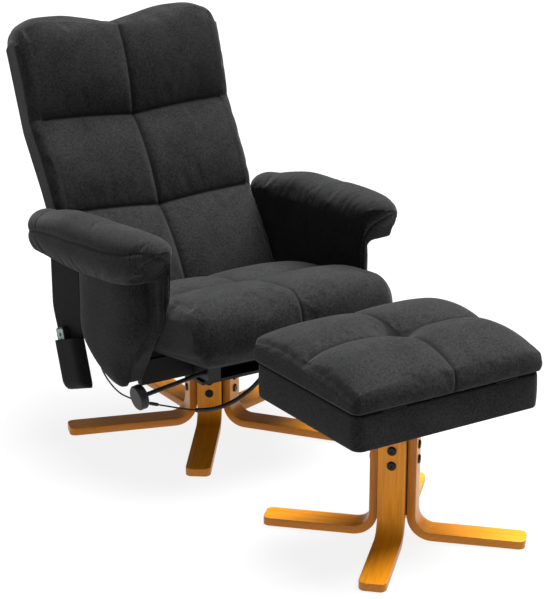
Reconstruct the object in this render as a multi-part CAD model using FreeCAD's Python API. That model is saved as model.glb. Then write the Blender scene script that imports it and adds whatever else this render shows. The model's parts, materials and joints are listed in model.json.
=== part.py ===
# Massage recliner with footstool: a tufted reclining chair that swivels on a bent-wood star base,
# and a matching footstool with storage under its hinged, tufted lid.
# Millimetres. +Z is up, the chair faces -Y and the sitter's right side is -X.
# The pieces are built about the chair's swivel axis, then the whole set is moved so that the
# origin is at the middle of its footprint, on the floor.
import FreeCAD, Part
import math
import os
from FreeCAD import Vector

# Clearances and the overrun of every cut
RUN_GAP = 0.05
SOFT_GAP = 0.3
CUT = 6.0

# Bent-wood legs, the same strip on chair and footstool
LEG_WIDTH = 62.0
LEG_THICK = 20.0
LEG_BEND = 38.0
LEG_TIP_ROUND = 7.0

# Leg bolts
BOLT_SHANK = 4.0
BOLT_HEAD = 10.5
BOLT_HEAD_THICK = 4.5
BOLT_SOCKET = 3.2
BOLT_SOCKET_DEPTH = 2.5
BOLT_GRIP = 14.0

# Chair base
CHAIR_LEGS = 5
CHAIR_FIRST_LEG_DEG = 90.0
CHAIR_LEG_REACH = 377.0
CHAIR_LEG_TOP = 152.0
CHAIR_HUB_FLAT = 45.0
CHAIR_HUB_FOOT = 55.0
CHAIR_HUB_TOP = 160.0
CHAIR_BOLT_HIGH = 127.0
CHAIR_BOLT_LOW = 94.0

# Swivel
SPINDLE_RADIUS = 15.0
SPINDLE_LENGTH = 90.0
BUSH_RADIUS = 22.0
BUSH_DEPTH = 78.0
BUSH_FLANGE_RADIUS = 36.0
BUSH_FLANGE = 4.0
PLATE_WIDTH = 230.0
PLATE_THICK = 8.0
BEAM_OFFSET = 90.0
BEAM_WIDTH = 32.0
BEAM_HEIGHT = 28.0

# Under-seat frame: three cross boards whose tops follow the slope that the seat slides on
BOARD_THICK = 20.0
BOARD_SPAN = 150.0
BOARD_MIDDLE_Y = -60.0
REAR_BOARD_HALF = 262.0
SLOPE_DEG = 7.25
SLOPE_Z = 243.0

# Seat slide
RAIL_OFFSET = 180.0
RAIL_WIDTH = 30.0
RAIL_HEIGHT = 12.0
RAIL_OVERHANG = 15.0
TONGUE_WIDTH = 10.0
TONGUE_DEPTH = 6.0
RUNNER_WIDTH = 24.0
RUNNER_HEIGHT = 8.0
RUNNER_REAR = 105.0

# Seat
SEAT_HALF = 281.0
SEAT_REAR = 126.0
SEAT_DEPTH = 562.0
SEAT_THICK = 150.0
SEAT_CROWN = 28.0
SEAT_LIFT = 9.0
SEAT_DRAW = 34.0
PAN_HALF = 240.0
PAN_THICK = 10.0
PAN_REAR = 100.0
PAN_FRONT = -372.0

# Backrest: three rows of tufts, each with its own length and lean from the vertical
BACK_FOOT_Y = 134.0
BACK_FOOT_Z = 331.0
BACK_ROW_LOW = 226.0
BACK_ROW_MIDDLE = 257.0
BACK_ROW_TOP = 246.0
BACK_LEAN_LOW_DEG = 35.4
BACK_LEAN_MIDDLE_DEG = 31.6
BACK_LEAN_TOP_DEG = 17.6
BACK_HALF = 280.0
BACK_HEAD_HALF = 292.0
BACK_THICK_LOW = 78.0
BACK_THICK_TOP = 104.0
BACK_CROWN = 24.0
BACK_LIFT = 12.0
BACK_DRAW = 14.0
BACK_EAR_RISE = 34.0
BACK_TOP_CROWN = 14.0

# Backrest inside: cover, moulded board, pivot arms
COVER_THICK = 3.0
BOARD_PLY = 12.0
RECESS_HALF = 240.0
BACK_BOARD_HALF = 221.0
RECESS_HEAD = 46.0
BACK_ARM_THICK = 10.0
BACK_ARM_LENGTH = 180.0
PIVOT_RADIUS = 6.0
PIVOT_DROP = 27.0
PIVOT_EYE = 16.0
BRACKET_THICK = 8.0
PIN_HEAD_RADIUS = 10.0
PIN_HEAD_THICK = 4.0

# Massage motors
MOTOR_RADIUS = 23.0
MOTOR_HEIGHT = 14.0
SEAT_MOTOR_X = 115.0
SEAT_MOTOR_Y = -40.0
BACK_MOTOR_X = 110.0

# Arms: padded core, rolled pad on top, bulged outer panel
ARM_INNER = 286.0
ARM_CORE_WIDTH = 40.0
ARM_CORE_FRONT = -278.0
ARM_CORE_LENGTH = 483.0
ARM_FRONT_TURN = 62.0
ARM_CORE_FOOT = 203.0
ARM_BASE_Z = 455.0
ARM_RISE_Y = -170.0
ARM_RISE_SLOPE_SHARE = 0.62
PAD_FRONT = -330.0
PAD_LENGTH = 632.0
PAD_HEIGHT = 167.0
PAD_WIDTH = 100.0
PANEL_FRONT = -220.0
PANEL_LENGTH = 286.0
PANEL_FOOT = 196.0
PANEL_HEIGHT = 256.0
PANEL_BULGE = 32.0
ARM_BOLT_RADIUS = 4.0
ARM_BOLT_HEAD = 9.0
ARM_BOLT_HEAD_THICK = 6.0
ARM_BOLT_LENGTH = 90.0
ARM_BOLT_Z = 226.0

# Handset pocket and handset
POCKET_LEAN_DEG = 20.0
POCKET_WALL = 2.5
POCKET_DEPTH = 30.0
POCKET_HALF = 71.0
POCKET_LENGTH = 132.0
POCKET_FOOT_REAR = 19.0
POCKET_FOOT_Z = 124.0
FLAP_GAP = 4.0
FLAP_WIDTH = 146.0
FLAP_TOP = 452.0
HANDSET_LENGTH = 160.0
HANDSET_WIDTH = 42.0
HANDSET_THICK = 16.0
HANDSET_ROUND = 9.0
HANDSET_ACROSS = 40.0
FACE_INSET = 4.0
FACE_THICK = 1.8
BUTTON_RADIUS = 4.5
BUTTON_PROUD = 1.0
BUTTON_STEM = 3.4
BUTTON_WELL = 3.0
BUTTON_FIRST = 18.0
BUTTON_PITCH = 15.0

# Recline lock: knob on a sloping rod
ROD_RADIUS = 5.5
ROD_LENGTH = 228.0
ROD_LEAN_DEG = 8.2
ROD_INNER_X = -100.0
ROD_Y = -205.0
ROD_Z = 228.0
KNOB_RADIUS = 31.0
KNOB_THICK = 22.0
KNOB_GRIP = 14.0
KNOB_CHAMFER = 3.0
LOCK_BLOCK_OUTER_X = -140.0
LOCK_BLOCK_INNER_X = -104.0
LOCK_BLOCK_REACH = 72.0
LOCK_BLOCK_LOW = 203.0
LOCK_BLOCK_HIGH = 250.0

# Massage controller and its cable
CONTROLLER_WIDTH = 120.0
CONTROLLER_DEPTH = 42.0
CONTROLLER_HEIGHT = 48.0
CONTROLLER_GAP = 4.0
GLAND_X = 62.0
GLAND_Z = 222.0
GLAND_RADIUS = 7.0
GLAND_TIP = 4.0
GLAND_NOSE = 12.0
GROMMET_RADIUS = 6.0
GROMMET_LENGTH = 24.0
CABLE_DIAMETER = 4.0
SLEEVE_DIAMETER = 11.0
CONNECTOR_DIAMETER = 9.0
CONNECTOR_LENGTH = 22.0
TIE_WIDTH = 4.0
TIE_THICK = 1.4
TIE_HEAD = 5.0
BEND_SHARE = 0.45
MIDDLE_SHARE = 0.5
SLEEVE_RUNS = (2, 6)
TAIL_STRAIGHT = 28.0
# Turns of the lead: across, ahead of the front board, height
LEAD_TURNS = [
    (62, 42, 222), (44, 56, 196), (10, 56, 161), (-36, 53, 132), (-88, 50, 117), (-140, 49, 119),
    (-188, 50, 133), (-226, 49, 147), (-262, 36, 157),
]
# Turns of the tail: outside the arm's inner face, along, height
TAIL_TURNS = [
    (27, -128, 168), (25, -84, 162), (23, -38, 167), (22, 8, 184), (22, 36, 215), (22, 44, 250), (22, 44, 272),
]

# Footstool
SET_SPACING = 809.0
STOOL_LEGS = 4
STOOL_FIRST_LEG_DEG = 45.0
STOOL_LEG_REACH = 300.0
STOOL_LEG_TOP = 250.0
STOOL_HUB_FLAT = 33.0
STOOL_HUB_FOOT = 60.0
STOOL_BOLT_HIGH = 222.0
STOOL_BOLT_LOW = 186.0
STOOL_PLATE_HALF = 100.0
STOOL_PLATE_THICK = 5.0
BOX_FLOOR_Z = 320.0
BOX_HEIGHT = 81.0
BOX_HALF_X = 242.0
BOX_HALF_Y = 194.0
BOX_WALL = 16.0
BOX_FLOOR = 12.0
BOX_ROUND = 24.0

# Footstool lid
LID_GAP = 4.0
LID_HALF_X = 250.0
LID_HALF_Y = 201.0
LID_EDGE = 56.0
LID_CROWN = 30.0
LID_LIFT = 14.0
LID_DRAW = 16.0
LID_BULGE = 6.0
LID_BOARD_MARGIN = 24.0
LID_BOARD_THICK = 12.0

# Lid hinges
HINGE_X = 150.0
HINGE_WIDTH = 60.0
KNUCKLE_RADIUS = 1.9
HINGE_PIN_RADIUS = 0.9
HINGE_REACH = 2.4
LEAF_THICK = 1.4
LEAF_LENGTH = 14.0

# Outlines and swells, as shares of the sizes above
SEAT_OUTLINE_SHARES = {
    "foot_front": (0.955, 0.0), "face_swell": (1.0, 0.34), "face_top": (0.986, 0.66),
    "roll": (0.948, 0.90), "front_top": (0.846, 0.98), "seam": (0.506, 0.83), "rear_top": (0.02, 0.53),
}
SEAT_SWELL_SHARES = [
    (0.0, 0.35, 0.0, 0.0), (0.08, 0.75, 0.5, 0.0), (0.28, 0.95, 0.9, 0.0), (0.5, 1.0, 1.0, 0.0),
    (0.75, 0.9, 0.7, 0.1), (0.93, 0.65, 0.0, 0.4), (1.0, 0.4, -0.6, 1.0),
]
BACK_SWELL_SHARES = [
    (0.0, 0.35, 0.0, 0.0, 0.0), (0.08, 0.75, 0.4, 0.12, 0.0), (0.28, 0.95, 0.9, 0.45, 0.0),
    (0.5, 1.0, 1.0, 0.8, 0.0), (0.75, 0.9, 0.8, 1.0, 0.0), (0.92, 0.6, 0.1, 0.65, 0.0),
    (1.0, 0.35, -1.0, -0.3, 1.0),
]
LID_SWELL_SHARES = [
    (0.0, 0.3, 0.0, 0.0), (0.08, 0.7, 0.5, 0.0), (0.28, 0.95, 0.9, 0.0), (0.5, 1.0, 1.0, 0.0),
    (0.75, 0.9, 0.6, 0.05), (0.93, 0.6, 0.0, 0.35), (1.0, 0.35, -0.5, 1.0),
]
CORE_OUTLINE_SHARES = [(0.0, 0.62), (0.08, 0.31), (0.256, 0.0), (0.48, 0.035), (0.68, 0.29), (1.0, 0.45)]
PAD_STATION_SHARES = [
    (0.0, 0.84, 0.06, 0.24, 0.5), (0.012, 0.91, 0.02, 0.13, 0.4), (0.045, 0.975, 0.0, 0.04, 0.26),
    (0.12, 1.0, 0.0, 0.0, 0.1),
    (0.2532, 0.985, 0.0, 0.0, 0.02), (0.45, 0.935, 0.0, 0.0, 0.0), (0.62, 0.885, 0.0, 0.0, 0.0),
    (0.77, 0.77, 0.0, 0.0, 0.02), (0.84, 0.7, 0.0, 0.0, 0.04), (0.94, 0.58, 0.05, 0.04, 0.1),
    (1.0, 0.44, 0.15, 0.14, 0.24),
]
PAD_OUTER_SHARES = {"foot": 0.14, "low_out": 0.02, "low": 0.2, "seam": 0.5, "inner": 0.66, "crown": 0.46}
PANEL_OUTLINE_SHARES = {
    "front_high": (0.06, 1.0), "front_swell": (0.0, 0.8), "front_low": (0.05, 0.6),
    "foot_front": (0.23, 0.05), "foot": (0.29, 0.0), "foot_rear": (0.42, 0.03),
    "rear_low": (0.935, 0.33), "rear_turn": (0.985, 0.42), "rear_high": (1.0, 0.52), "rear_top": (1.0, 1.0),
}
PANEL_SWELL_SHARES = [(0.0, 0.97), (0.35, 1.0), (0.75, 0.9), (1.0, 0.66)]

SLOPE = math.radians(SLOPE_DEG)
POCKET_LEAN = math.radians(POCKET_LEAN_DEG)
ROD_LEAN = math.radians(ROD_LEAN_DEG)

NODES = {}
CORD_NODES = ["cable_lead_front", "cable_sleeve", "cable_lead_middle", "cable_connector", "cable_lead_rear"]


def block(x0, x1, y0, y1, z0, z1):
    return Part.makeBox(x1 - x0, y1 - y0, z1 - z0, Vector(x0, y0, z0))


def cylinder(start, direction, radius, length):
    return Part.makeCylinder(radius, length, start, direction)


def side_prism(outline, x0, x1):
    # A YZ outline pushed along X
    points = [Vector(x0, y, z) for y, z in outline]
    face = Part.Face(Part.makePolygon(points + points[:1]))
    return face.extrude(Vector(x1 - x0, 0, 0))


def mirrored(shape):
    return shape.mirror(Vector(0, 0, 0), Vector(1, 0, 0))


def turned(shape, degrees):
    copy = shape.copy()
    copy.rotate(Vector(0, 0, 0), Vector(0, 0, 1), degrees)
    return copy


def line(a, b):
    return Part.LineSegment(a, b).toShape()


def arc(a, middle, b):
    return Part.Arc(a, middle, b).toShape()


def loft(wires):
    return Part.makeLoft(wires, True, True)


def both_sides(rows):
    # A table from the centre line outwards, repeated as a run from one side to the other
    left = [(-row[0],) + tuple(row[1:]) for row in reversed(rows[1:])]
    return left + [tuple(row) for row in rows]


def slope_z(y):
    return SLOPE_Z - y * math.tan(SLOPE)


def slope_band(y0, y1, low, high, x0, x1):
    # A bar that lies along the slope of the seat slide
    outline = [
        (y0, slope_z(y0) + low), (y1, slope_z(y1) + low),
        (y1, slope_z(y1) + high), (y0, slope_z(y0) + high),
    ]
    return side_prism(outline, x0, x1)


# Legs, hubs and bolts

def leg(hub_flat, top, reach):
    heel = LEG_BEND + LEG_THICK
    outer = hub_flat + LEG_THICK
    bend = Vector(outer + LEG_BEND, 0, heel)
    diagonal = math.sqrt(MIDDLE_SHARE)

    def on_bend(radius):
        return Vector(bend.x - radius * diagonal, 0, bend.z - radius * diagonal)

    inner_top = Vector(hub_flat, 0, top)
    inner_low = Vector(hub_flat, 0, heel)
    floor_start = Vector(bend.x, 0, 0)
    floor_end = Vector(reach, 0, 0)
    tip_top = Vector(reach, 0, LEG_THICK)
    step = Vector(bend.x, 0, LEG_THICK)
    outer_low = Vector(outer, 0, heel)
    outer_top = Vector(outer, 0, top)
    wire = Part.Wire([
        line(inner_top, inner_low), arc(inner_low, on_bend(heel), floor_start),
        line(floor_start, floor_end), line(floor_end, tip_top), line(tip_top, step),
        arc(step, on_bend(LEG_BEND), outer_low), line(outer_low, outer_top), line(outer_top, inner_top),
    ])
    strip = Part.Face(wire).extrude(Vector(0, LEG_WIDTH, 0))
    strip.translate(Vector(0, -LEG_WIDTH / 2, 0))
    tips = [
        edge for edge in strip.Edges
        if edge.BoundBox.XLength < RUN_GAP and edge.BoundBox.YLength < RUN_GAP
        and edge.BoundBox.XMin > reach - LEG_THICK
    ]
    return strip.makeFillet(LEG_TIP_ROUND, tips)


def leg_hole(height, hub_flat):
    start = Vector(hub_flat - BOLT_GRIP, 0, height)
    return cylinder(start, Vector(1, 0, 0), BOLT_SHANK, BOLT_GRIP + LEG_THICK + CUT)


def leg_bolt(height, hub_flat):
    outer = hub_flat + LEG_THICK
    outward = Vector(1, 0, 0)
    shank = cylinder(Vector(hub_flat - BOLT_GRIP, 0, height), outward, BOLT_SHANK, BOLT_GRIP + LEG_THICK)
    head = cylinder(Vector(outer, 0, height), outward, BOLT_HEAD, BOLT_HEAD_THICK)
    rim = [edge for edge in head.Edges if edge.BoundBox.XMin > outer + BOLT_HEAD_THICK - RUN_GAP]
    head = head.makeChamfer(BOLT_HEAD_THICK / 2, rim)
    socket_start = Vector(outer + BOLT_HEAD_THICK - BOLT_SOCKET_DEPTH, 0, height)
    corners = [
        socket_start + Vector(0, BOLT_SOCKET * math.cos(turn), BOLT_SOCKET * math.sin(turn))
        for turn in [math.radians(60 * side) for side in range(6)]
    ]
    socket = Part.Face(Part.makePolygon(corners + corners[:1])).extrude(Vector(BOLT_SOCKET_DEPTH + CUT, 0, 0))
    return shank.fuse(head).removeSplitter().cut(socket)


def polygon_hub(sides, first_deg, flat, foot, top):
    corner = flat / math.cos(math.pi / sides)
    points = []
    for side in range(sides):
        turn = math.radians(first_deg) + math.pi / sides * (2 * side + 1)
        points.append(Vector(corner * math.cos(turn), corner * math.sin(turn), foot))
    return Part.Face(Part.makePolygon(points + points[:1])).extrude(Vector(0, 0, top - foot))


def star_base(prefix, count, first_deg, flat, top, reach, bolt_heights, hub):
    # Legs bolted round a hub; returns the drilled hub and the bolts, all about the hub's own axis
    plain_leg = leg(flat, top, reach)
    holes = Part.makeCompound([leg_hole(height, flat) for height in bolt_heights])
    drilled = plain_leg.cut(holes)
    bolts = []
    legs = {}
    for number in range(count):
        degrees = first_deg + 360.0 / count * number
        legs["%s_leg_%d" % (prefix, number + 1)] = turned(drilled, degrees)
        hub = hub.cut(turned(holes, degrees))
        bolts += [turned(leg_bolt(height, flat), degrees) for height in bolt_heights]
    return legs, hub, Part.makeCompound(bolts)


def chair_base():
    hub = polygon_hub(CHAIR_LEGS, CHAIR_FIRST_LEG_DEG, CHAIR_HUB_FLAT, CHAIR_HUB_FOOT, CHAIR_HUB_TOP)
    bore = cylinder(Vector(0, 0, CHAIR_HUB_FOOT - CUT), Vector(0, 0, 1), BUSH_RADIUS,
                    CHAIR_HUB_TOP - CHAIR_HUB_FOOT + 2 * CUT)
    legs, hub, bolts = star_base(
        "chair", CHAIR_LEGS, CHAIR_FIRST_LEG_DEG, CHAIR_HUB_FLAT, CHAIR_LEG_TOP, CHAIR_LEG_REACH,
        (CHAIR_BOLT_LOW, CHAIR_BOLT_HIGH), hub.cut(bore))
    NODES.update(legs)
    NODES["chair_hub"] = hub
    NODES["chair_leg_bolts"] = bolts
    up = Vector(0, 0, 1)
    sleeve = cylinder(Vector(0, 0, CHAIR_HUB_TOP - BUSH_DEPTH), up, BUSH_RADIUS, BUSH_DEPTH)
    flange = cylinder(Vector(0, 0, CHAIR_HUB_TOP), up, BUSH_FLANGE_RADIUS, BUSH_FLANGE)
    hole = cylinder(Vector(0, 0, CHAIR_HUB_TOP - BUSH_DEPTH - CUT), up, SPINDLE_RADIUS + RUN_GAP,
                    BUSH_DEPTH + BUSH_FLANGE + 2 * CUT)
    NODES["swivel_bush"] = sleeve.fuse(flange).cut(hole)


# Swivel carrier and under-seat frame

CARRIER_Z = CHAIR_HUB_TOP + BUSH_FLANGE
BOARD_Z = CARRIER_Z + PLATE_THICK + BEAM_HEIGHT


def swivel_carrier():
    plate_top = CARRIER_Z + PLATE_THICK
    shape = block(-PLATE_WIDTH / 2, PLATE_WIDTH / 2, -BOARD_SPAN, BOARD_SPAN, CARRIER_Z, plate_top)
    for side in (-1, 1):
        centre = side * BEAM_OFFSET
        shape = shape.fuse(block(centre - BEAM_WIDTH / 2, centre + BEAM_WIDTH / 2, -BOARD_SPAN, BOARD_SPAN,
                                 plate_top, BOARD_Z))
    spindle_foot = Vector(0, 0, CARRIER_Z - SPINDLE_LENGTH)
    spindle = cylinder(spindle_foot, Vector(0, 0, 1), SPINDLE_RADIUS, SPINDLE_LENGTH)
    NODES["swivel_carrier"] = shape.fuse(spindle).removeSplitter()


def cross_board(front_y, half):
    rear_y = front_y + BOARD_THICK
    outline = [(front_y, BOARD_Z), (rear_y, BOARD_Z), (rear_y, slope_z(rear_y)), (front_y, slope_z(front_y))]
    return side_prism(outline, -half, half)


def arm_bolt_places():
    return [-BOARD_SPAN + BOARD_THICK / 2, BOARD_MIDDLE_Y + BOARD_THICK / 2]


def arm_bolt(y):
    outer = ARM_INNER + ARM_CORE_WIDTH
    inward = Vector(-1, 0, 0)
    head = cylinder(Vector(outer, y, ARM_BOLT_Z), inward, ARM_BOLT_HEAD, ARM_BOLT_HEAD_THICK)
    shank = cylinder(Vector(outer, y, ARM_BOLT_Z), inward, ARM_BOLT_RADIUS, ARM_BOLT_LENGTH)
    return head.fuse(shank).removeSplitter()


def arm_bolts():
    right = [arm_bolt(y) for y in arm_bolt_places()]
    return Part.makeCompound(right + [mirrored(bolt) for bolt in right])


def under_frame():
    bolts = arm_bolts()
    gland_hole = cylinder(Vector(GLAND_X, -BOARD_SPAN - CUT, GLAND_Z), Vector(0, 1, 0), GLAND_RADIUS,
                          BOARD_THICK + 2 * CUT)
    NODES["cross_board_front"] = cross_board(-BOARD_SPAN, ARM_INNER).cut(bolts).cut(gland_hole)
    NODES["cross_board_middle"] = cross_board(BOARD_MIDDLE_Y, ARM_INNER).cut(bolts)
    NODES["cross_board_rear"] = cross_board(BOARD_SPAN - BOARD_THICK, REAR_BOARD_HALF)
    NODES["arm_bolts"] = bolts
    low = RAIL_OFFSET - RAIL_WIDTH / 2
    high = RAIL_OFFSET + RAIL_WIDTH / 2
    end = BOARD_SPAN + RAIL_OVERHANG
    rail = slope_band(-end, end, 0, RAIL_HEIGHT, low, high)
    groove = slope_band(-end - CUT, end + CUT, RAIL_HEIGHT - TONGUE_DEPTH - SOFT_GAP, RAIL_HEIGHT + CUT,
                        RAIL_OFFSET - TONGUE_WIDTH / 2 - SOFT_GAP, RAIL_OFFSET + TONGUE_WIDTH / 2 + SOFT_GAP)
    rail = rail.cut(groove)
    NODES["slide_rail_right"] = mirrored(rail)
    NODES["slide_rail_left"] = rail


# Seat: pan on two runners, cushion with two by two tufts and a rolled front

PAN_LOW = RAIL_HEIGHT + RUN_GAP + RUNNER_HEIGHT


def seat_point(x, shares, lift):
    # A point of the cushion's outline: shares of its depth from the rear, and of its thickness
    y = SEAT_REAR - shares[0] * SEAT_DEPTH
    return Vector(x, y, slope_z(y) + PAN_LOW + shares[1] * SEAT_THICK + lift)


def between(a, b, rise):
    middle = (a + b) * MIDDLE_SHARE
    return middle + rise


def seat_wire(x, crown, lift, draw):
    shares = SEAT_OUTLINE_SHARES
    raised = lift * SEAT_LIFT - draw * SEAT_DRAW * MIDDLE_SHARE
    back_off = Vector(0, draw * SEAT_DRAW, 0)
    rear_foot = Vector(x, SEAT_REAR, slope_z(SEAT_REAR) + PAN_LOW)
    foot = seat_point(x, shares["foot_front"], 0) + Vector(0, back_off.y, -back_off.y * math.tan(SLOPE))
    swell = seat_point(x, shares["face_swell"], 0) + back_off
    face_top = seat_point(x, shares["face_top"], raised) + back_off
    roll = seat_point(x, shares["roll"], raised) + back_off
    front_top = seat_point(x, shares["front_top"], raised) + back_off * MIDDLE_SHARE
    seam = seat_point(x, shares["seam"], raised)
    rear_top = seat_point(x, shares["rear_top"], raised * MIDDLE_SHARE)
    up = Vector(0, 0, crown * SEAT_CROWN)
    return Part.Wire([
        line(rear_foot, foot), arc(foot, swell, face_top), arc(face_top, roll, front_top),
        arc(front_top, between(front_top, seam, up * MIDDLE_SHARE), seam),
        arc(seam, between(seam, rear_top, up), rear_top), line(rear_top, rear_foot),
    ])


def slope_normal():
    return Vector(0, math.sin(SLOPE), math.cos(SLOPE))


def seat_motor(x, margin):
    foot = Vector(x, SEAT_MOTOR_Y, slope_z(SEAT_MOTOR_Y) + PAN_LOW + PAN_THICK)
    return cylinder(foot, slope_normal(), MOTOR_RADIUS + margin, MOTOR_HEIGHT + margin)


def seat():
    stations = both_sides(SEAT_SWELL_SHARES)
    cushion = loft([seat_wire(row[0] * SEAT_HALF, row[1], row[2], row[3]) for row in stations])
    recess_top = PAN_LOW + PAN_THICK + SOFT_GAP
    recess = slope_band(PAN_FRONT - SOFT_GAP, PAN_REAR + SOFT_GAP, PAN_LOW - CUT, recess_top,
                        -PAN_HALF - SOFT_GAP, PAN_HALF + SOFT_GAP)
    cushion = cushion.cut(recess)
    for side in (-1, 1):
        cushion = cushion.cut(seat_motor(side * SEAT_MOTOR_X, SOFT_GAP))
    NODES["seat_cushion"] = cushion
    NODES["seat_pan"] = slope_band(PAN_FRONT, PAN_REAR, PAN_LOW, PAN_LOW + PAN_THICK, -PAN_HALF, PAN_HALF)
    NODES["seat_motors"] = Part.makeCompound([seat_motor(side * SEAT_MOTOR_X, 0) for side in (-1, 1)])
    front = -BOARD_SPAN - RAIL_OVERHANG
    foot = RAIL_HEIGHT + RUN_GAP
    bar = slope_band(front, RUNNER_REAR, foot, PAN_LOW,
                     RAIL_OFFSET - RUNNER_WIDTH / 2, RAIL_OFFSET + RUNNER_WIDTH / 2)
    tongue = slope_band(front, RUNNER_REAR, foot - TONGUE_DEPTH, foot,
                        RAIL_OFFSET - TONGUE_WIDTH / 2, RAIL_OFFSET + TONGUE_WIDTH / 2)
    runner = bar.fuse(tongue).removeSplitter()
    NODES["seat_runner_right"] = mirrored(runner)
    NODES["seat_runner_left"] = runner


# Backrest

def lean_direction(degrees):
    return Vector(0, math.sin(math.radians(degrees)), math.cos(math.radians(degrees)))


def forward_of(direction):
    return Vector(0, -direction.z, direction.y)


BACK_LEANS = [lean_direction(lean) for lean in (BACK_LEAN_LOW_DEG, BACK_LEAN_MIDDLE_DEG, BACK_LEAN_TOP_DEG)]
BACK_ROWS = [BACK_ROW_LOW, BACK_ROW_MIDDLE, BACK_ROW_TOP]


def seam_points(rise):
    # Seam places up the middle of the front face; the last one is raised towards the ears
    points = [Vector(0, BACK_FOOT_Y, BACK_FOOT_Z)]
    for row, direction in zip(BACK_ROWS, BACK_LEANS):
        points.append(points[-1] + direction * row)
    points[-1] = points[-1] + BACK_LEANS[-1] * rise
    return points


def rear_points(rise):
    front = seam_points(rise)
    step = (BACK_THICK_TOP - BACK_THICK_LOW) / len(BACK_ROWS)
    normals = [BACK_LEANS[0], BACK_LEANS[0] + BACK_LEANS[1], BACK_LEANS[1] + BACK_LEANS[2], BACK_LEANS[2]]
    rear = []
    for index, point in enumerate(front):
        forward = forward_of(normals[index]).normalize()
        rear.append(point - forward * (BACK_THICK_LOW + step * index))
    return rear


def at_x(point, x):
    return Vector(x, point.y, point.z)


BACK_HEAD_Z = seam_points(0)[-1].z


def flared(point, share):
    # A point of the section at a share of the half width, which grows steadily with height
    height_share = (point.z - BACK_FOOT_Z) / (BACK_HEAD_Z - BACK_FOOT_Z)
    return at_x(point, share * (BACK_HALF + (BACK_HEAD_HALF - BACK_HALF) * height_share))


def back_wire(share, crown, lift, ear, draw):
    front = seam_points(ear * BACK_EAR_RISE)
    rear = rear_points(ear * BACK_EAR_RISE)
    leans = BACK_LEANS + BACK_LEANS[-1:]
    front = [flared(p + forward_of(d) * lift * BACK_LIFT, share) for p, d in zip(front, leans)]
    rear = [flared(p + forward_of(d) * draw * BACK_DRAW, share) for p, d in zip(rear, leans)]
    edges = [line(rear[0], front[0])]
    for index, direction in enumerate(BACK_LEANS):
        swell = between(front[index], front[index + 1], forward_of(direction) * crown * BACK_CROWN)
        edges.append(arc(front[index], flared(swell, share), front[index + 1]))
    top = between(front[3], rear[3], BACK_LEANS[-1] * BACK_TOP_CROWN)
    edges.append(arc(front[3], flared(top, share), rear[3]))
    edges += [line(rear[3], rear[2]), line(rear[2], rear[1]), line(rear[1], rear[0])]
    return Part.Wire(edges)


def rear_band(low, high, foot, head, x0, x1):
    # A bent plate between two depths in front of the rear face; foot and head shorten its ends
    rear = rear_points(0)
    runs = [(b - a).normalize() for a, b in zip(rear, rear[1:])]
    rear[0] = rear[0] + runs[0] * foot
    rear[3] = rear[3] - runs[2] * head
    mitres = [runs[0], runs[0] + runs[1], runs[1] + runs[2], runs[2]]
    outline = []
    for depth, order in ((low, (0, 1, 2, 3)), (high, (3, 2, 1, 0))):
        for index in order:
            forward = forward_of(mitres[index]).normalize()
            spread = max(0, min(index, 1)) * max(0, min(3 - index, 1))
            stretch = 1 / forward.dot(forward_of(runs[min(index, 2)])) if spread else 1
            point = rear[index] + forward * depth * stretch
            outline.append((point.y, point.z))
    return side_prism(outline, x0, x1)


def pivot_point(x):
    rear = rear_points(0)
    run = (rear[1] - rear[0]).normalize()
    point = rear[0] - run * PIVOT_DROP + forward_of(run) * (COVER_THICK + BOARD_PLY / 2)
    return at_x(point, x)


def back_motor(x, row, margin):
    rear = rear_points(0)
    run = (rear[row + 1] - rear[row]).normalize()
    foot = (rear[row] + rear[row + 1]) * MIDDLE_SHARE + forward_of(run) * (COVER_THICK + BOARD_PLY)
    return cylinder(at_x(foot, x), forward_of(run), MOTOR_RADIUS + margin, MOTOR_HEIGHT + margin)


def back_motor_set(margin):
    return [back_motor(side * BACK_MOTOR_X, row, margin) for row in (0, 1) for side in (-1, 1)]


def back_arm():
    rear = rear_points(0)
    run = (rear[1] - rear[0]).normalize()
    forward = forward_of(run)
    inner = BACK_BOARD_HALF
    eye = pivot_point(inner)
    corners = []
    for depth, along in ((COVER_THICK, BACK_ARM_LENGTH), (COVER_THICK, -PIVOT_DROP),
                         (COVER_THICK + BOARD_PLY, -PIVOT_DROP), (COVER_THICK + BOARD_PLY, BACK_ARM_LENGTH)):
        point = rear[0] + run * along + forward * depth
        corners.append((point.y, point.z))
    bar = side_prism(corners, inner, inner + BACK_ARM_THICK)
    outward = Vector(1, 0, 0)
    ring = cylinder(eye, outward, PIVOT_EYE, BACK_ARM_THICK)
    hole = cylinder(at_x(eye, inner - CUT), outward, PIVOT_RADIUS + RUN_GAP, BACK_ARM_THICK + 2 * CUT)
    return bar.fuse(ring).removeSplitter().cut(hole)


def back_bracket():
    inner = BACK_BOARD_HALF + BACK_ARM_THICK + SOFT_GAP
    eye = pivot_point(inner)
    foot_front = BOARD_SPAN - BOARD_THICK
    tangent = PIVOT_EYE * math.sqrt(MIDDLE_SHARE)
    outline = [
        (foot_front, slope_z(foot_front)), (BOARD_SPAN, slope_z(BOARD_SPAN)),
        (eye.y + tangent, eye.z - tangent), (eye.y - tangent, eye.z + tangent),
    ]
    plate = side_prism(outline, inner, inner + BRACKET_THICK)
    outward = Vector(1, 0, 0)
    ring = cylinder(eye, outward, PIVOT_EYE, BRACKET_THICK)
    hole = cylinder(at_x(eye, inner - CUT), outward, PIVOT_RADIUS, BRACKET_THICK + 2 * CUT)
    return plate.fuse(ring).removeSplitter().cut(hole)


def pivot_pin():
    inner = BACK_BOARD_HALF
    length = BACK_ARM_THICK + SOFT_GAP + BRACKET_THICK
    shaft = cylinder(pivot_point(inner), Vector(1, 0, 0), PIVOT_RADIUS, length)
    head = cylinder(pivot_point(inner + length), Vector(1, 0, 0), PIN_HEAD_RADIUS, PIN_HEAD_THICK)
    return shaft.fuse(head)


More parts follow.
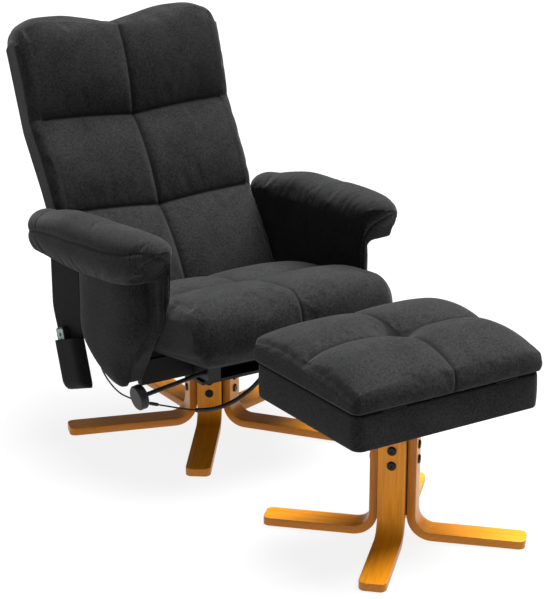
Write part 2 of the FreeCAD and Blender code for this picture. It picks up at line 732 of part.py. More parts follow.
def backrest():
    stations = both_sides(BACK_SWELL_SHARES)
    cushion = loft([back_wire(*row) for row in stations])
    depth = COVER_THICK + BOARD_PLY
    head = RECESS_HEAD - SOFT_GAP
    cushion = cushion.cut(rear_band(-CUT, depth + SOFT_GAP, -CUT, head, -RECESS_HALF, RECESS_HALF))
    for motor in back_motor_set(SOFT_GAP):
        cushion = cushion.cut(motor)
    NODES["back_cushion"] = cushion
    cover_half = RECESS_HALF - SOFT_GAP
    NODES["back_cover"] = rear_band(0, COVER_THICK, 0, RECESS_HEAD, -cover_half, cover_half)
    NODES["back_board"] = rear_band(COVER_THICK, depth, 0, RECESS_HEAD, -BACK_BOARD_HALF, BACK_BOARD_HALF)
    NODES["back_motors"] = Part.makeCompound(back_motor_set(0))
    arm = back_arm()
    NODES["back_arms"] = Part.makeCompound([mirrored(arm), arm])
    bracket = back_bracket()
    NODES["back_brackets"] = Part.makeCompound([mirrored(bracket), bracket])
    pin = pivot_pin()
    NODES["back_pivot_pins"] = Part.makeCompound([mirrored(pin), pin])


# Arms

def pad_base(y):
    return ARM_BASE_Z + max(0, ARM_RISE_Y - y) * ARM_RISE_SLOPE_SHARE


def core_point(shares):
    front_top = pad_base(ARM_CORE_FRONT)
    y = ARM_CORE_FRONT + shares[0] * ARM_CORE_LENGTH
    return (y, ARM_CORE_FOOT + shares[1] * (front_top - ARM_CORE_FOOT))


def arm_core():
    rear = ARM_CORE_FRONT + ARM_CORE_LENGTH
    outline = [core_point(shares) for shares in CORE_OUTLINE_SHARES]
    outline += [(rear, ARM_BASE_Z), (ARM_RISE_Y, ARM_BASE_Z), (ARM_CORE_FRONT, pad_base(ARM_CORE_FRONT))]
    outer = ARM_INNER + ARM_CORE_WIDTH
    front = ARM_CORE_FRONT
    foot = ARM_CORE_FOOT - CUT
    corner = Part.makePolygon([
        Vector(ARM_INNER, front, foot), Vector(outer, front + ARM_FRONT_TURN, foot),
        Vector(outer + CUT, front, foot), Vector(outer, front - CUT, foot), Vector(ARM_INNER, front, foot),
    ])
    slanted = Part.Face(corner).extrude(Vector(0, 0, pad_base(front) - foot + CUT))
    return side_prism(outline, ARM_INNER, outer).cut(slanted)


def pad_wire(row):
    along, top, foot_lift, inner_in, outer_in = row
    shares = PAD_OUTER_SHARES
    y = PAD_FRONT + along * PAD_LENGTH
    foot = pad_base(y) + foot_lift * PAD_HEIGHT
    crown = ARM_BASE_Z + top * PAD_HEIGHT
    tall = crown - foot
    inner = ARM_INNER + inner_in * PAD_WIDTH
    outer = ARM_INNER + PAD_WIDTH - outer_in * PAD_WIDTH
    wide = outer - inner

    def at(in_share, up_share):
        return Vector(outer - in_share * wide, y, foot + up_share * tall)

    inner_foot = Vector(inner, y, foot)
    outer_foot = at(shares["foot"], 0)
    seam = at(0, shares["seam"])
    inner_top = Vector(inner, y, foot + shares["inner"] * tall)
    return Part.Wire([
        line(inner_foot, outer_foot), arc(outer_foot, at(shares["low_out"], shares["low"]), seam),
        arc(seam, at(shares["crown"], 1), inner_top), line(inner_top, inner_foot),
    ])


def panel_wire(depth, scale):
    shares = PANEL_OUTLINE_SHARES
    middle_y = PANEL_FRONT + PANEL_LENGTH * MIDDLE_SHARE
    middle_z = PANEL_FOOT + PANEL_HEIGHT * MIDDLE_SHARE
    x = ARM_INNER + ARM_CORE_WIDTH + SOFT_GAP + depth * PANEL_BULGE

    def at(name):
        y = PANEL_FRONT + shares[name][0] * PANEL_LENGTH
        z = PANEL_FOOT + shares[name][1] * PANEL_HEIGHT
        return Vector(x, middle_y + (y - middle_y) * scale, middle_z + (z - middle_z) * scale)

    return Part.Wire([
        arc(at("front_high"), at("front_swell"), at("front_low")), line(at("front_low"), at("foot_front")),
        arc(at("foot_front"), at("foot"), at("foot_rear")), line(at("foot_rear"), at("rear_low")),
        arc(at("rear_low"), at("rear_turn"), at("rear_high")), line(at("rear_high"), at("rear_top")),
        line(at("rear_top"), at("front_high")),
    ])


def grommet():
    end = Vector(*tail_route()[-1])
    return cylinder(end, Vector(0, 0, 1), GROMMET_RADIUS, GROMMET_LENGTH)


def arms():
    core = arm_core().cut(NODES["arm_bolts"])
    NODES["arm_core_left"] = core
    NODES["arm_core_right"] = mirrored(core).cut(grommet())
    pad = loft([pad_wire(row) for row in PAD_STATION_SHARES])
    NODES["arm_pad_left"] = pad
    NODES["arm_pad_right"] = mirrored(pad)
    panel = loft([panel_wire(depth, scale) for depth, scale in PANEL_SWELL_SHARES])
    NODES["side_panel_left"] = panel
    NODES["side_panel_right"] = mirrored(panel)


# Handset pocket and handset, on the sitter's right

POCKET_X = -ARM_INNER - ARM_CORE_WIDTH - SOFT_GAP
PANEL_REAR = PANEL_FRONT + PANEL_LENGTH
FLAP_FRONT = PANEL_REAR + FLAP_GAP


def pocket_place(across, along):
    # A place in the pocket's own leaning frame: across to the rear, along upwards from its foot
    y = PANEL_REAR + POCKET_FOOT_REAR + across * math.cos(POCKET_LEAN) + along * math.sin(POCKET_LEAN)
    z = POCKET_FOOT_Z - across * math.sin(POCKET_LEAN) + along * math.cos(POCKET_LEAN)
    return (y, z)


def leaning_block(across0, across1, along0, along1, x0, x1):
    corners = [(across0, along0), (across1, along0), (across1, along1), (across0, along1)]
    return side_prism([pocket_place(across, along) for across, along in corners], x0, x1)


def remote_pocket():
    outer = leaning_block(-POCKET_HALF, POCKET_HALF, 0, POCKET_LENGTH, POCKET_X - POCKET_DEPTH, POCKET_X)
    half = POCKET_HALF - POCKET_WALL
    inner = leaning_block(-half, half, POCKET_WALL, POCKET_LENGTH + CUT,
                          POCKET_X - POCKET_DEPTH + POCKET_WALL, POCKET_X - POCKET_WALL)
    front_low = pocket_place(-POCKET_HALF, POCKET_LENGTH)
    rear_low = pocket_place(POCKET_HALF, POCKET_LENGTH)
    flap = side_prism([front_low, rear_low, (FLAP_FRONT + FLAP_WIDTH, FLAP_TOP), (FLAP_FRONT, FLAP_TOP)],
                      POCKET_X - POCKET_WALL, POCKET_X)
    NODES["remote_pocket"] = outer.cut(inner).fuse(flap).removeSplitter()


HANDSET_FOOT = POCKET_WALL + SOFT_GAP
HANDSET_BACK_X = POCKET_X - POCKET_WALL - SOFT_GAP
HANDSET_FACE_X = HANDSET_BACK_X - HANDSET_THICK


def rounded_leaning(across0, across1, along0, along1, radius, x0, x1):
    shape = leaning_block(across0, across1, along0, along1, x0, x1)
    edges = [
        edge for edge in shape.Edges
        if edge.BoundBox.YLength < RUN_GAP and edge.BoundBox.ZLength < RUN_GAP
    ]
    return shape.makeFillet(radius, edges)


def button(along, radius, x0, length):
    y, z = pocket_place(HANDSET_ACROSS, along)
    return cylinder(Vector(x0, y, z), Vector(-1, 0, 0), radius, length)


def handset():
    half = HANDSET_WIDTH / 2
    top = HANDSET_FOOT + HANDSET_LENGTH
    case = rounded_leaning(HANDSET_ACROSS - half, HANDSET_ACROSS + half, HANDSET_FOOT, top, HANDSET_ROUND,
                           HANDSET_FACE_X, HANDSET_BACK_X)
    inset = half - FACE_INSET
    face_round = HANDSET_ROUND - FACE_INSET
    face_back = HANDSET_FACE_X + FACE_THICK
    face = rounded_leaning(HANDSET_ACROSS - inset, HANDSET_ACROSS + inset, HANDSET_FOOT + FACE_INSET,
                           top - FACE_INSET, face_round, HANDSET_FACE_X, face_back)
    case = case.cut(face)
    for number, name in enumerate(("button_power", "button_mode", "button_strength")):
        along = top - BUTTON_FIRST - BUTTON_PITCH * number
        well = button(along, BUTTON_RADIUS + SOFT_GAP, face_back + BUTTON_WELL, BUTTON_WELL + FACE_THICK + CUT)
        case = case.cut(well)
        face = face.cut(well)
        foot = HANDSET_FACE_X - BUTTON_PROUD + BUTTON_STEM
        NODES[name] = button(along, BUTTON_RADIUS, foot, BUTTON_STEM)
    NODES["handset_case"] = case
    NODES["handset_face"] = face


# Recline lock

def rod_direction():
    return Vector(-math.cos(ROD_LEAN), 0, -math.sin(ROD_LEAN))


def rod_start():
    return Vector(ROD_INNER_X, ROD_Y, ROD_Z)


def recline_lock():
    along = rod_direction()
    rod = cylinder(rod_start(), along, ROD_RADIUS, ROD_LENGTH)
    knob_foot = rod_start() + along * (ROD_LENGTH - KNOB_GRIP)
    knob = cylinder(knob_foot, along, KNOB_RADIUS, KNOB_THICK)
    rims = [edge for edge in knob.Edges if edge.Curve.TypeId == "Part::GeomCircle"]
    knob = knob.makeChamfer(KNOB_CHAMFER, rims)
    NODES["lock_rod"] = rod
    NODES["lock_knob"] = knob.cut(rod)
    front = -BOARD_SPAN - LOCK_BLOCK_REACH
    holder = block(LOCK_BLOCK_OUTER_X, LOCK_BLOCK_INNER_X, front, -BOARD_SPAN, LOCK_BLOCK_LOW, LOCK_BLOCK_HIGH)
    hole = cylinder(rod_start() - along * CUT, along, ROD_RADIUS + RUN_GAP, ROD_LENGTH)
    NODES["lock_bracket"] = holder.cut(hole)


# Controller and cable

def bend_arcs(points):
    # Tangent arcs at the inner points of a route, each as large as its two runs allow
    places = [Vector(*point) for point in points]
    arcs = []
    for before, corner, after in zip(places, places[1:], places[2:]):
        incoming = (before - corner).normalize()
        outgoing = (after - corner).normalize()
        shorter = min(corner.distanceToPoint(before), corner.distanceToPoint(after))
        half_turn = (math.pi - incoming.getAngle(outgoing)) / 2
        setback = BEND_SHARE * shorter
        radius = setback / math.tan(half_turn)
        bisector = (incoming + outgoing).normalize()
        middle = corner + bisector * (radius / math.cos(half_turn) - radius)
        arcs.append((corner + incoming * setback, middle, corner + outgoing * setback, radius))
    return places, arcs


def route_edges(points, first_run, last_run):
    # Edges from the middle of one run to the middle of another; None means the route's own end
    places, arcs = bend_arcs(points)
    start = 0 if first_run is None else first_run
    stop = len(points) - 2 if last_run is None else last_run
    here = places[0] if first_run is None else (places[start] + places[start + 1]) * MIDDLE_SHARE
    edges = []
    for index in range(start, stop):
        begin, middle, end, radius = arcs[index]
        edges.append(line(here, begin))
        edges.append(arc(begin, middle, end))
        here = end
    finish = places[-1] if last_run is None else (places[stop] + places[stop + 1]) * MIDDLE_SHARE
    edges.append(line(here, finish))
    return edges


def tube(points, first_run, last_run, diameter):
    edges = route_edges(points, first_run, last_run)
    path = Part.Wire(edges)
    start = edges[0].firstVertex().Point
    heading = edges[0].lastVertex().Point - start
    ring = Part.Wire(Part.Circle(start, heading, diameter / 2).toShape())
    return path.makePipeShell([ring], True, False), path.Length


def lead_route():
    # From the gland's tip to the connector
    front = -BOARD_SPAN
    return [(GLAND_X, front - GLAND_NOSE, GLAND_Z)] + [(x, front - ahead, z) for x, ahead, z in LEAD_TURNS]


def connector_place():
    # Start and heading of the connector, at the end of the lead
    lead = lead_route()
    start = Vector(*lead[-1])
    return start, (start - Vector(*lead[-2])).normalize()


def tail_route():
    # Straight out of the connector, then along the arm's foot and up into it
    start, along = connector_place()
    plug_end = start + along * CONNECTOR_LENGTH
    straight_end = plug_end + along * TAIL_STRAIGHT
    turns = [(-ARM_INNER - outside, y, z) for outside, y, z in TAIL_TURNS]
    return [tuple(plug_end), tuple(straight_end)] + turns


def cable():
    lead = lead_route()
    tail = tail_route()
    first, last = SLEEVE_RUNS
    radii = [bend[3] for route in (lead, tail) for bend in bend_arcs(route)[1]]
    print("cable bend radii", [round(radius, 1) for radius in radii])
    spans = [
        ("cable_lead_front", lead, None, first, CABLE_DIAMETER),
        ("cable_sleeve", lead, first, last, SLEEVE_DIAMETER),
        ("cable_lead_middle", lead, last, None, CABLE_DIAMETER),
        ("cable_lead_rear", tail, None, None, CABLE_DIAMETER),
    ]
    for name, route, first_run, last_run, diameter in spans:
        NODES[name], length = tube(route, first_run, last_run, diameter)
        section = math.pi * (diameter / 2) ** 2
        print(name, "length", round(length, 1), "volume share", round(NODES[name].Volume / section / length, 4))
    start, along = connector_place()
    NODES["cable_connector"] = cylinder(start, along, CONNECTOR_DIAMETER / 2, CONNECTOR_LENGTH)


def sleeve_tie():
    # Cable tie round the sleeve's upper end, with its square head on top
    edges = route_edges(lead_route(), *SLEEVE_RUNS)
    bend_start = edges[0].firstVertex().Point
    along = (edges[0].lastVertex().Point - bend_start).normalize()
    inner = SLEEVE_DIAMETER / 2 + RUN_GAP
    outer = inner + TIE_THICK
    ring = cylinder(bend_start, along, outer, TIE_WIDTH)
    head_foot = bend_start + Vector(-TIE_HEAD / 2, -TIE_HEAD / 2, inner + TIE_THICK / 2)
    head = Part.makeBox(TIE_HEAD, TIE_HEAD, TIE_HEAD, head_foot)
    hole = cylinder(bend_start - along * CUT, along, inner, TIE_WIDTH + 2 * CUT)
    return ring.fuse(head).removeSplitter().cut(hole)


def controller():
    rear = -BOARD_SPAN + BOARD_THICK
    half = CONTROLLER_WIDTH / 2
    box = block(GLAND_X - half, GLAND_X + half, rear, rear + CONTROLLER_DEPTH,
                BOARD_Z + CONTROLLER_GAP, BOARD_Z + CONTROLLER_GAP + CONTROLLER_HEIGHT)
    NODES["massage_controller"] = box
    outward = Vector(0, -1, 0)
    body = cylinder(Vector(GLAND_X, rear, GLAND_Z), outward, GLAND_RADIUS, BOARD_THICK)
    nose = Part.makeCone(GLAND_RADIUS, GLAND_TIP, GLAND_NOSE, Vector(GLAND_X, -BOARD_SPAN, GLAND_Z), outward)
    NODES["cable_glands"] = Part.makeCompound([body.fuse(nose), grommet()])


# Footstool

def footstool():
    hub = polygon_hub(STOOL_LEGS, STOOL_FIRST_LEG_DEG, STOOL_HUB_FLAT, STOOL_HUB_FOOT, BOX_FLOOR_Z)
    half = STOOL_PLATE_HALF
    plate = block(-half, half, -half, half, BOX_FLOOR_Z - STOOL_PLATE_THICK, BOX_FLOOR_Z)
    hub = hub.fuse(plate).removeSplitter()
    legs, hub, bolts = star_base(
        "stool", STOOL_LEGS, STOOL_FIRST_LEG_DEG, STOOL_HUB_FLAT, STOOL_LEG_TOP, STOOL_LEG_REACH,
        (STOOL_BOLT_LOW, STOOL_BOLT_HIGH), hub)
    pieces = dict(legs)
    pieces["stool_hub"] = hub
    pieces["stool_leg_bolts"] = bolts
    pieces["stool_box"] = stool_box()
    pieces.update(lid())
    pieces.update(lid_hinges())
    for name, shape in pieces.items():
        NODES[name] = shape.translated(Vector(0, -SET_SPACING, 0))


def rounded_box(half_x, half_y, low, high, radius):
    shape = block(-half_x, half_x, -half_y, half_y, low, high)
    uprights = [edge for edge in shape.Edges if edge.BoundBox.ZLength > (high - low) * MIDDLE_SHARE]
    return shape.makeFillet(radius, uprights)


def stool_box():
    top = BOX_FLOOR_Z + BOX_HEIGHT
    outer = rounded_box(BOX_HALF_X, BOX_HALF_Y, BOX_FLOOR_Z, top, BOX_ROUND)
    inner = rounded_box(BOX_HALF_X - BOX_WALL, BOX_HALF_Y - BOX_WALL, BOX_FLOOR_Z + BOX_FLOOR, top + CUT,
                        BOX_ROUND - BOX_WALL)
    return outer.cut(inner)


LID_Z = BOX_FLOOR_Z + BOX_HEIGHT + LID_GAP


def lid_wire(x, crown, lift, draw):
    half = LID_HALF_Y - draw * LID_DRAW
    edge_z = LID_Z + LID_EDGE - draw * LID_DRAW
    seam_z = LID_Z + LID_EDGE + lift * LID_LIFT
    foot_front = Vector(x, -half, LID_Z)
    foot_rear = Vector(x, half, LID_Z)
    edge_front = Vector(x, -half, edge_z)
    edge_rear = Vector(x, half, edge_z)
    seam = Vector(x, 0, seam_z)
    bulge = Vector(0, LID_BULGE, 0)
    up = Vector(0, 0, crown * LID_CROWN)
    return Part.Wire([
        line(foot_rear, foot_front),
        arc(foot_front, between(foot_front, edge_front, -bulge), edge_front),
        arc(edge_front, between(edge_front, seam, up), seam),
        arc(seam, between(seam, edge_rear, up), edge_rear),
        arc(edge_rear, between(edge_rear, foot_rear, bulge), foot_rear),
    ])


def lid():
    stations = both_sides(LID_SWELL_SHARES)
    cushion = loft([lid_wire(row[0] * LID_HALF_X, row[1], row[2], row[3]) for row in stations])
    half_x = LID_HALF_X - LID_BOARD_MARGIN
    half_y = LID_HALF_Y - LID_BOARD_MARGIN
    board = block(-half_x, half_x, -half_y, half_y, LID_Z, LID_Z + LID_BOARD_THICK)
    recess = block(-half_x - SOFT_GAP, half_x + SOFT_GAP, -half_y - SOFT_GAP, half_y + SOFT_GAP,
                   LID_Z - CUT, LID_Z + LID_BOARD_THICK + SOFT_GAP)
    return {"lid_cushion": cushion.cut(recess), "lid_board": board}


def hinge_axis(x):
    return Vector(x, -BOX_HALF_Y - HINGE_REACH, LID_Z - LID_GAP / 2)


def hinge_leaf(start, width, low, high):
    # One knuckle with a leaf that lies in the gap between box and lid
    axis = hinge_axis(start)
    leaf = block(start, start + width, axis.y, -BOX_HALF_Y + LEAF_LENGTH, low, high)
    return leaf.fuse(cylinder(axis, Vector(1, 0, 0), KNUCKLE_RADIUS, width))


def lid_hinges():
    # Two slim hinges on the side away from the chair: the outer knuckles and the pin are on the
    # box, the middle knuckle is on the lid
    box_leaves = []
    lid_leaves = []
    along = Vector(1, 0, 0)
    knuckle = HINGE_WIDTH / 3
    box_top = LID_Z - LID_GAP
    for side in (-1, 1):
        left = side * HINGE_X - HINGE_WIDTH / 2
        fixed = cylinder(hinge_axis(left), along, HINGE_PIN_RADIUS, HINGE_WIDTH)
        for start in (left, left + 2 * knuckle):
            fixed = fixed.fuse(hinge_leaf(start, knuckle, box_top, box_top + LEAF_THICK))
        box_leaves.append(fixed.removeSplitter())
        start = left + knuckle + SOFT_GAP
        width = knuckle - 2 * SOFT_GAP
        moving = hinge_leaf(start, width, LID_Z - LEAF_THICK, LID_Z)
        hole = cylinder(hinge_axis(start - CUT), along, HINGE_PIN_RADIUS + RUN_GAP, width + 2 * CUT)
        lid_leaves.append(moving.removeSplitter().cut(hole))
    return {"stool_hinges": Part.makeCompound(box_leaves), "lid_hinge_leaves": Part.makeCompound(lid_leaves)}


def set_offset():
    # From the swivel axis to the middle of the set's footprint
    rigid = Part.makeCompound([shape for name, shape in NODES.items() if name not in CORD_NODES])
    bounds = rigid.BoundBox
    return Vector(-bounds.Center.x, -bounds.Center.y, 0)


def report_places(offset):
    places = {
        "swivel": Vector(0, 0, CARRIER_Z), "recline": pivot_point(0), "lock": rod_start(),
        "lid": hinge_axis(0) - Vector(0, SET_SPACING, 0),
        "chair_foot": Vector(0, CHAIR_LEG_REACH - LEG_WIDTH, 0),
    }
    for name, place in places.items():
        moved = place + offset
        print("place", name, [round(value / 1000, 6) for value in (moved.x, moved.y, moved.z)])
    print("offset", offset.x, offset.y)


def main():
    chair_base()
    swivel_carrier()
    under_frame()
    seat()
    backrest()
    arms()
    remote_pocket()
    handset()
    recline_lock()
    cable()
    NODES["cable_sleeve"] = Part.makeCompound([NODES["cable_sleeve"], sleeve_tie()])
    controller()
    footstool()
    offset = set_offset()
    report_places(offset)
    os.makedirs("parts", exist_ok=True)
    for name, shape in NODES.items():
        moved = shape.translated(offset)
        moved.exportStep("parts/%s.step" % name)


main()
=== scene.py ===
import json
import math

import bmesh
import bpy
import numpy as np
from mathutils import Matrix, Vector


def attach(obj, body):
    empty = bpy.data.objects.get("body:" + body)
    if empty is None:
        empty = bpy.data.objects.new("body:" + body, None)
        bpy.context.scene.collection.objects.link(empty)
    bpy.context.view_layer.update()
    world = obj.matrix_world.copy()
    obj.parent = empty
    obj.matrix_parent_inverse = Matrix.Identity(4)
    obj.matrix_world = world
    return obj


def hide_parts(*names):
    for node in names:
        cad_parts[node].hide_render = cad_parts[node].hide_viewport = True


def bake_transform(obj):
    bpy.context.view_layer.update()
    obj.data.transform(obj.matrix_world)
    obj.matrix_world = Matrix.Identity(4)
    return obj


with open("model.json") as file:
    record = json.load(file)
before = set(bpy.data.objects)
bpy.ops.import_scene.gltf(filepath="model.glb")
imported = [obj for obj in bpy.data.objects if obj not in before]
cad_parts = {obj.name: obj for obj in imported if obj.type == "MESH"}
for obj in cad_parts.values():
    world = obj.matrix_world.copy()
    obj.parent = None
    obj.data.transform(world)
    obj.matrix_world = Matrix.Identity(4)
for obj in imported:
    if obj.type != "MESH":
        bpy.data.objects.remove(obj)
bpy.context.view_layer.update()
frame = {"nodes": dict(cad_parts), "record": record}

# Lengths are millimetres, or metres where a name ends in _M. The chair's pieces are placed about
# its swivel axis and the footstool's about its own middle; a shift in Y moves both into the frame.
MM = 0.001
CHAIR_Y = 228.388
STOOL_Y = CHAIR_Y - 809.0
SIDES = (("left", 1), ("right", -1))
FAR = 999.0  # distance of points that a seam leaves alone


def placed(points, shift):
    return [(p[0] * MM, (p[1] + shift) * MM, p[2] * MM) for p in points]


def add_object(name, data):
    obj = bpy.data.objects.new(name, data)
    bpy.context.collection.objects.link(obj)
    return obj


# Camera at the photograph's angle

camera_data = bpy.data.cameras.new("camera")
camera_data.lens = 114.0
camera_data.sensor_width = 36.0
camera = add_object("camera", camera_data)
camera.location = (-2.33773, -3.739476, 1.89384)
camera.rotation_euler = (math.radians(71.2), 0, math.radians(-32.56))
bpy.context.scene.camera = camera


# Curves of values and lines in a plane

def clamp(value):
    return min(1.0, max(0.0, value))


def eased(value):
    # From 0 to 1 with level ends
    t = clamp(value)
    return t * t * (3 - 2 * t)


def table_row(table, at):
    # A table's other columns where its first one is at: cubic curves that don't overshoot
    table = np.asarray(table, float)
    keys, values = table[:, 0], table[:, 1:]
    runs = np.diff(keys)
    slopes = np.diff(values, axis=0) / runs[:, None]
    product = slopes[:-1] * slopes[1:]
    total = np.where(product > 0, slopes[:-1] + slopes[1:], 1)
    tangents = np.vstack((slopes[:1], np.maximum(product, 0) * 2 / total, slopes[-1:]))
    at = np.clip(at, keys[0], keys[-1])
    i = int(np.clip(np.searchsorted(keys, at, side="right") - 1, 0, len(runs) - 1))
    t = (at - keys[i]) / runs[i]
    row = (values[i] * (1 + 2 * t) * (1 - t) ** 2 + tangents[i] * runs[i] * t * (1 - t) ** 2
           + values[i + 1] * t * t * (3 - 2 * t) - tangents[i + 1] * runs[i] * t * t * (1 - t))
    return row.tolist()


def shares_of(steps):
    # Shares along a run without its end: even ones for a count, or else the given ones
    return np.arange(steps) / steps if isinstance(steps, int) else steps


def straight(a, b, steps):
    return [a + (b - a) * share for share in shares_of(steps)]


def bow(a, m, b, steps):
    # Circular arc from a through m to b, without its last point
    d = 2 * (a[0] * (m[1] - b[1]) + m[0] * (b[1] - a[1]) + b[0] * (a[1] - m[1]))
    if abs(d) < 1e-6:
        return straight(a, b, steps)
    aa, mm, bb = (float(v @ v) for v in (a, m, b))
    centre = np.array((aa * (m[1] - b[1]) + mm * (b[1] - a[1]) + bb * (a[1] - m[1]),
                       aa * (b[0] - m[0]) + mm * (a[0] - b[0]) + bb * (m[0] - a[0]))) / d
    first, middle, last = (math.atan2(*(v - centre)[::-1]) for v in (a, m, b))
    turn = (last - first) % (2 * math.pi)
    if (middle - first) % (2 * math.pi) > turn:
        turn -= 2 * math.pi
    radius = np.linalg.norm(a - centre)
    return [centre + radius * np.array((math.cos(first + turn * s), math.sin(first + turn * s)))
            for s in shares_of(steps)]


def inset_loop(loop, distance):
    # A closed plane loop moved inwards along its own normals
    loop = np.asarray(loop, float)
    ahead = np.roll(loop, -1, 0)
    tangent = ahead - np.roll(loop, 1, 0)
    normal = np.stack((-tangent[:, 1], tangent[:, 0]), 1)
    normal /= np.maximum(np.linalg.norm(normal, axis=1, keepdims=True), 1e-9)
    area = np.sum(loop[:, 0] * ahead[:, 1] - ahead[:, 0] * loop[:, 1])
    return loop + normal * distance * (1 if area > 0 else -1)


def resampled(rows, shares):
    # Points of a polyline at shares of its length
    rows = np.asarray(rows, float)
    reach = np.concatenate(([0], np.cumsum(np.linalg.norm(np.diff(rows, axis=0), axis=1))))
    at = np.asarray(shares) * reach[-1]
    return np.stack([np.interp(at, reach, column) for column in rows.T], 1)


def softened(rows, passes):
    # Evens out an open polyline; its ends stay
    rows = np.array(rows, float)
    for _ in range(passes):
        rows[1:-1] = 0.5 * rows[1:-1] + 0.25 * (rows[:-2] + rows[2:])
    return rows


def rounded_loop(loop, passes):
    for _ in range(passes):
        loop = 0.5 * loop + 0.25 * (np.roll(loop, 1, 0) + np.roll(loop, -1, 0))
    return loop


def rounded_rectangle(half_x, half_y, radius, steps, runs):
    # Loop with round corners of so many steps; runs are the parts of the X and of the Y sides
    corners = [(turn, np.array((sx * (half_x - radius), sy * (half_y - radius))))
               for sx, sy, turn in ((1, 1, 0), (-1, 1, 90), (-1, -1, 180), (1, -1, 270))]

    def at(turn, corner):
        t = math.radians(turn)
        return corner + radius * np.array((math.cos(t), math.sin(t)))

    loop = []
    for k, (turn, corner) in enumerate(corners):
        loop += [at(turn + 90 * step / steps, corner) for step in range(steps + 1)]
        loop += straight(loop[-1], at(*corners[(k + 1) % 4]), runs[k % 2])[1:]
    return np.asarray(loop)


# Meshes

def new_object(name, points, faces, shift):
    mesh = bpy.data.meshes.new(name)
    mesh.from_pydata(placed(points, shift), [], faces)
    mesh.validate()
    mesh.polygons.foreach_set("use_smooth", [True] * len(mesh.polygons))
    work = bmesh.new()
    work.from_mesh(mesh)
    bmesh.ops.recalc_face_normals(work, faces=work.faces)
    work.to_mesh(mesh)
    work.free()
    return add_object(name, mesh)


def tube_faces(rings, size):
    return [(r * size + k, r * size + (k + 1) % size,
             (r + 1) * size + (k + 1) % size, (r + 1) * size + k)
            for r in range(rings - 1) for k in range(size)]


def coons_cap(loop, across, along):
    # Grid over a loop of four runs (along, across, along, across): its inner points and its faces
    loop = np.asarray(loop, float)
    size = len(loop)

    def rim(i, j):
        if j == 0:
            return i % size
        if i == along:
            return (along + j) % size
        if j == across:
            return (2 * along + across - i) % size
        return (2 * along + 2 * across - j) % size

    corners = [loop[rim(*at)] for at in ((0, 0), (along, 0), (along, across), (0, across))]
    inner = []
    index = {}
    for i in range(along + 1):
        for j in range(across + 1):
            if i in (0, along) or j in (0, across):
                index[i, j] = rim(i, j)
                continue
            u, v = i / along, j / across
            low, high, left, right = (
                loop[rim(*at)] for at in ((i, 0), (i, across), (0, j), (along, j)))
            shares = ((1 - u) * (1 - v), u * (1 - v), u * v, (1 - u) * v)
            index[i, j] = size + len(inner)
            inner.append((1 - v) * low + v * high + (1 - u) * left + u * right
                         - sum(share * corner for share, corner in zip(shares, corners)))
    return inner, [(index[i, j], index[i + 1, j], index[i + 1, j + 1], index[i, j + 1])
                   for i in range(along) for j in range(across)]


def lofted(name, loops, along, across, shift):
    # A closed form through equal loops of space points, with gridded ends
    size = len(loops[0])
    points = [tuple(p) for loop in loops for p in loop]
    faces = tube_faces(len(loops), size)
    for start in (0, (len(loops) - 1) * size):
        inner, cap = coons_cap(points[start:start + size], across, along)
        base = len(points)
        points += [tuple(p) for p in inner]
        faces += [tuple(start + k if k < size else base + k - size for k in f) for f in cap]
    return new_object(name, points, faces, shift)


def ringed(name, rings, shift):
    # A form through equal loops of space points; the ends are closed by one face each
    size = len(rings[0])
    last = (len(rings) - 1) * size
    faces = tube_faces(len(rings), size)
    faces += [tuple(range(size)), tuple(range(last, last + size))]
    return new_object(name, [tuple(p) for ring in rings for p in ring], faces, shift)


def circle(centre, side, other, radius, sides):
    return [tuple(centre + (side * math.cos(t) + other * math.sin(t)) * radius)
            for t in (2 * math.pi * k / sides for k in range(sides))]


def lathe(name, profile, start, axis, shift, sides):
    # A turned form: profile of (distance along the axis, radius)
    along = Vector(axis).normalized()
    side = along.orthogonal().normalized()
    return ringed(name, [circle(Vector(start) + along * distance, side, along.cross(side), radius,
                                sides) for distance, radius in profile], shift)


def tube(name, path, radii, shift, sides):
    # A round tube along space points, with one radius for each
    rings = []
    for k, place in enumerate(path):
        ahead = (path[min(k + 1, len(path) - 1)] - path[max(k - 1, 0)]).normalized()
        side = ahead.cross(Vector((0, 1, 0))).normalized()
        rings.append(circle(place, side, ahead.cross(side), radii[k], sides))
    return ringed(name, rings, shift)


def vertex_rows(mesh, key="co"):
    flat = np.empty(len(mesh.vertices) * 3)
    mesh.vertices.foreach_get(key, flat)
    return flat.reshape(-1, 3)


def set_points(obj, points):
    obj.data.vertices.foreach_set("co", np.ascontiguousarray(points).ravel())
    obj.data.update()


def relax(obj, passes, keep=None):
    # Rounds a mesh: each point moves along its normal, halfway to the middle of its neighbours
    mesh = obj.data
    edges = np.empty(len(mesh.edges) * 2, int)
    mesh.edges.foreach_get("vertices", edges)
    a, b = edges[0::2], edges[1::2]
    degree = np.bincount(edges, minlength=len(mesh.vertices))[:, None]
    for _ in range(passes):
        points, normals = vertex_rows(mesh), vertex_rows(mesh, "normal")
        total = np.zeros_like(points)
        np.add.at(total, a, points[b])
        np.add.at(total, b, points[a])
        gap = total / np.maximum(degree, 1) - points
        move = 0.5 * np.sum(gap * normals, axis=1, keepdims=True) * normals
        if keep is not None:
            move[keep] = 0
        set_points(obj, points + move)


def subdivide(obj):
    modifier = obj.modifiers.new("smooth", "SUBSURF")
    modifier.levels = modifier.render_levels = 1


# Materials

